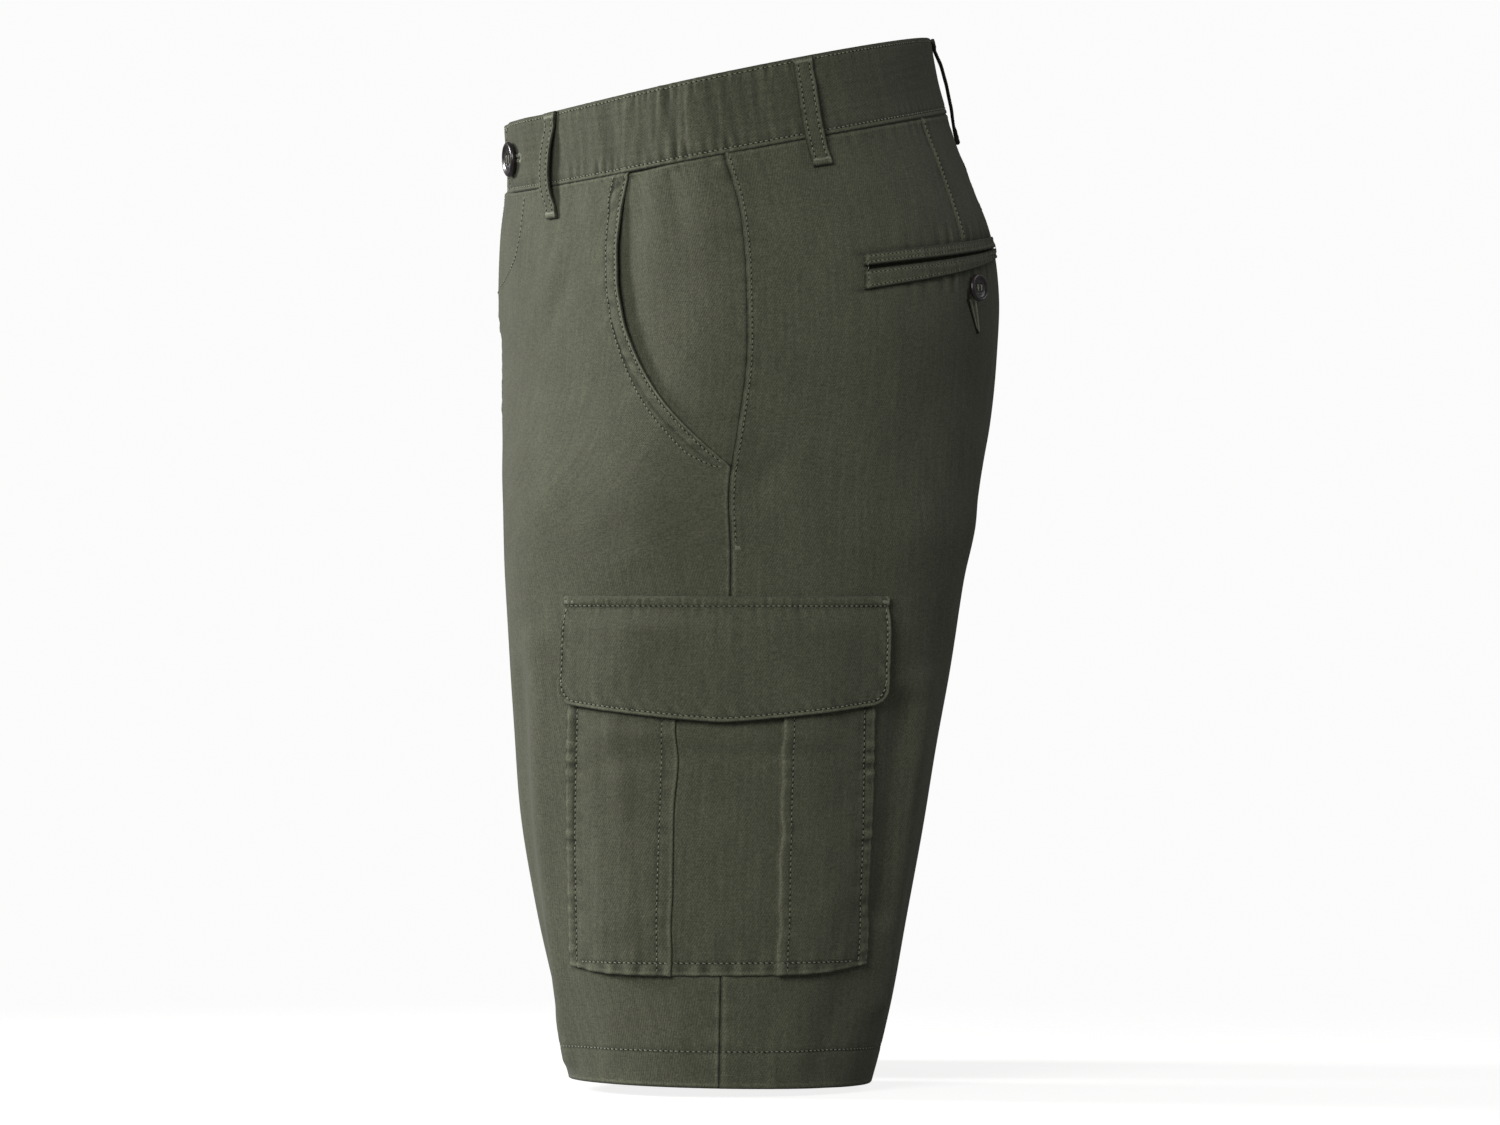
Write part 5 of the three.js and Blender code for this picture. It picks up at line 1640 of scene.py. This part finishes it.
def button(name, node, side, g, level, out, radius, thickness, lean=0.0):
    mesh = bpy.data.meshes.new(name)
    profile = np.array(BUTTON_PROFILE) * (radius, thickness)
    angle = np.linspace(0, 2 * np.pi, BUTTON_SIDES, endpoint=False)
    points = [(0, 0, 0)]
    for r, h in profile[1:-1]:
        points += [(r * math.cos(a), r * math.sin(a), h) for a in angle]
    points.append((0, 0, profile[-1][1]))
    faces = [[0, 1 + (k + 1) % BUTTON_SIDES, 1 + k] for k in range(BUTTON_SIDES)]
    rings = len(profile) - 2
    for r in range(rings - 1):
        low, high = 1 + r * BUTTON_SIDES, 1 + (r + 1) * BUTTON_SIDES
        faces += [
            [low + k, low + (k + 1) % BUTTON_SIDES, high + (k + 1) % BUTTON_SIDES, high + k]
            for k in range(BUTTON_SIDES)
        ]
    last = 1 + (rings - 1) * BUTTON_SIDES
    faces += [[last + k, last + (k + 1) % BUTTON_SIDES, len(points) - 1] for k in range(BUTTON_SIDES)]
    mesh.from_pydata((np.array(points) * MM).tolist(), [], faces)
    mesh.polygons.foreach_set("use_smooth", np.ones(len(mesh.polygons), bool))
    mesh.materials.append(BUTTON)
    made_object = bpy.data.objects.new(name, mesh)
    bpy.context.scene.collection.objects.link(made_object)
    cutters = []
    for x, y in ((1, 1), (1, -1), (-1, 1), (-1, -1)):
        bpy.ops.mesh.primitive_cylinder_add(
            vertices=20,
            radius=radius * 0.1 * MM,
            depth=thickness * 3 * MM,
            location=(x * radius * 0.2 * MM, y * radius * 0.2 * MM, 0),
        )
        cutters.append(bpy.context.object)
    for cutter in cutters:
        modifier = made_object.modifiers.new("hole", "BOOLEAN")
        modifier.operation, modifier.object, modifier.solver = "DIFFERENCE", cutter, "EXACT"
    depsgraph = bpy.context.evaluated_depsgraph_get()
    finished = bpy.data.meshes.new_from_object(made_object.evaluated_get(depsgraph))
    made_object.modifiers.clear()
    made_object.data = finished
    for cutter in cutters:
        bpy.data.objects.remove(cutter)
    normal = Vector(normal_at(side, np.array(g), np.array(level)))
    normal = (normal + Vector((lean * side, 0, 0))).normalized()
    place = Vector(cloth(side, np.array(g), np.array(level), np.array(out)) * MM)
    turn = normal.to_track_quat("Z", "Y").to_matrix().to_4x4()
    turn.translation = place
    finished.transform(turn)
    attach(made_object, "root")
    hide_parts(node)
    threads = Threads()
    hole = radius * 0.2
    lines = []
    for (x0, y0), (x1, y1) in (((-1, -1), (-1, 1)), ((1, -1), (1, 1))):
        for shift in (-0.25, 0, 0.25):
            lines.append(((x0 * hole + shift, y0 * hole), (x1 * hole + shift, y1 * hole)))
    rotation = np.array(turn.to_3x3())
    top = thickness * 0.68
    for a, b in lines:
        start, end = (rotation @ np.array([p[0], p[1], top + 0.2]) + np.array(place) / MM for p in (a, b))
        centre, along = ((start + end) / 2)[None], (end - start)[None]
        threads.put(*stitches(centre, along, np.array(normal)[None], np.linalg.norm(end - start) * 1.25, 0.26))
    shank = np.array(place) / MM
    for k in range(6):
        a = 2 * np.pi * k / 6
        start = shank + rotation @ np.array([1.2 * math.cos(a), 1.2 * math.sin(a), -0.45])
        threads.put(*stitches(start[None], np.array(normal)[None], rotation[:, 0][None], 2.0, 0.35))
    threads.finish(f"{name}_thread")


# Everything in its place
POCKET_BUTTON_U, POCKET_BUTTON_LEVEL = 154, -101
WAIST_BUTTON_W, WAIST_BUTTON_LEVEL = 38.5, -7
LOOPS = (("front", -118, -127, -48), ("side", 43, 49, -40))

for side, word in ((1, "left"), (-1, "right")):
    waistband(side, word)
    front_panel(side, word)
    back_panel(side, word)
    bearer(side, word)
    for name, top, bottom, foot in LOOPS:
        across = lambda level, share, w, top=top, bottom=bottom: seam_place(
            level, mix(top, bottom, share) + w
        )
        loop(side, f"belt_loop_{name}_cloth_{word}", f"belt_loop_{name}_{word}", across, foot)
        loop_threads(side, f"belt_loop_{name}_thread_{word}", across, foot)
    welt(side, word, "upper", WELT_TOP, 0, WELT_SLIT, SLIT / 2)
    welt(side, word, "lower", WELT_SLIT, SLIT / 2, WELT_BOTTOM, 0)
    cargo_bag(side, word)
    cargo_flap(side, word)
    panel_threads(side, word)
    band_threads(side, word)
    pocket_threads(side, word)
    panel = lambda u, level, side=side: back_height(side, u, level)
    open_buttonhole(f"buttonhole_back_thread_{word}", side, panel)
    place = float(seam_place(POCKET_BUTTON_LEVEL, POCKET_BUTTON_U))
    rise = float(back_height(side, np.array(POCKET_BUTTON_U), np.array(POCKET_BUTTON_LEVEL))) + 0.9
    button(
        f"button_back_shaped_{word}", f"button_back_{word}", side, place, POCKET_BUTTON_LEVEL,
        max(rise, 0.9) + 0.8, 7.5, 2.8, 0.3
    )

back_across = lambda level, share, w: back_place(level, w)
loop(1, "belt_loop_back_cloth", "belt_loop_back", back_across, -39)
loop_threads(1, "belt_loop_back_thread", back_across, -39)
waist_length = float(front_length(WAIST_BUTTON_LEVEL))
band_face = lambda u, level: BAND_OUT + OVERLAP_LIFT + 0 * u
buttonhole("buttonhole_waist", 1, (31 - waist_length, -7), (50 - waist_length, -7), band_face, 1.7)
button(
    "button_waist_shaped",
    "button_waist",
    1,
    float(front_place(WAIST_BUTTON_LEVEL, WAIST_BUTTON_W)),
    WAIST_BUTTON_LEVEL,
    BAND_OUT + OVERLAP_LIFT + 0.7,
    9.5,
    3.2,
)

# Floor, world, light and camera
FLOOR_LEVEL = -0.5165


def floor_material():
    material, tree, shader = node_tree("Floor")
    shader.inputs["Base Color"].default_value = (0.3, 0.3, 0.296, 1)
    shader.inputs["Roughness"].default_value = 0.9
    shader.inputs["Emission Color"].default_value = (0.84, 0.84, 0.836, 1)
    rays = tree.nodes.new("ShaderNodeLightPath")
    link(tree, rays.outputs["Is Camera Ray"], shader.inputs["Emission Strength"])
    coords = add_node(tree, "ShaderNodeTexCoord")
    distance = add_node(tree, "ShaderNodeVectorMath", operation="LENGTH")
    link(tree, coords.outputs["Object"], distance.inputs[0])
    fade = tree.nodes.new("ShaderNodeMapRange")
    for key, value in (("From Min", 0.2), ("From Max", 0.95), ("To Min", 1.0), ("To Max", 0.0)):
        fade.inputs[key].default_value = value
    fade.interpolation_type = "SMOOTHSTEP"
    link(tree, distance.outputs["Value"], fade.inputs["Value"])
    link(tree, fade.outputs["Result"], shader.inputs["Alpha"])
    return material


bpy.ops.mesh.primitive_circle_add(vertices=96, radius=1.6, fill_type="NGON", location=(0, 0, FLOOR_LEVEL))
floor = bpy.context.object
floor.name = "floor"
floor.data.materials.append(floor_material())

world = bpy.data.worlds.new("Studio")
bpy.context.scene.world = world
world.use_nodes = True
tree = world.node_tree
ambient = tree.nodes["Background"]
ambient.inputs["Color"].default_value = (1, 1, 1, 1)
ambient.inputs["Strength"].default_value = 0.13
seen = add_node(tree, "ShaderNodeBackground", Color=(0.97, 0.97, 0.968, 1), Strength=1.0)
choose = tree.nodes.new("ShaderNodeMixShader")
rays = tree.nodes.new("ShaderNodeLightPath")
link(tree, rays.outputs["Is Camera Ray"], choose.inputs["Fac"])
link(tree, ambient.outputs["Background"], choose.inputs[1])
link(tree, seen.outputs["Background"], choose.inputs[2])
link(tree, choose.outputs["Shader"], tree.nodes["World Output"].inputs["Surface"])

TARGET = Vector((0, 0.0162, -0.2384))


def area_light(name, position, size, power):
    data = bpy.data.lights.new(name, "AREA")
    data.shape, data.size, data.energy = "DISK", size, power
    lamp = bpy.data.objects.new(name, data)
    lamp.location = position
    lamp.rotation_mode = "QUATERNION"
    lamp.rotation_quaternion = (TARGET - Vector(position)).to_track_quat("-Z", "Y")
    bpy.context.scene.collection.objects.link(lamp)


area_light("key", (-0.6, -2.6, 0.75), 0.9, 82)
area_light("fill", (2.7, -1.2, 0.9), 1.6, 56)
area_light("rear", (-0.2, 2.8, 1.2), 1.4, 9)

CAMERA_AZIMUTH, CAMERA_DISTANCE, VIEW_WIDTH, SENSOR = math.radians(88.7), 5.0, 0.81, 36.0
back_direction = Vector((math.sin(CAMERA_AZIMUTH), -math.cos(CAMERA_AZIMUTH), 0))
camera_data = bpy.data.cameras.new("camera")
camera_data.sensor_width = SENSOR
camera_data.lens = SENSOR * CAMERA_DISTANCE / VIEW_WIDTH
camera = bpy.data.objects.new("camera", camera_data)
camera.location = TARGET + back_direction * CAMERA_DISTANCE
camera.rotation_mode = "QUATERNION"
camera.rotation_quaternion = (-back_direction).to_track_quat("-Z", "Y")
bpy.context.scene.collection.objects.link(camera)
bpy.context.scene.camera = camera
bpy.context.scene.view_settings.view_transform = "Standard"
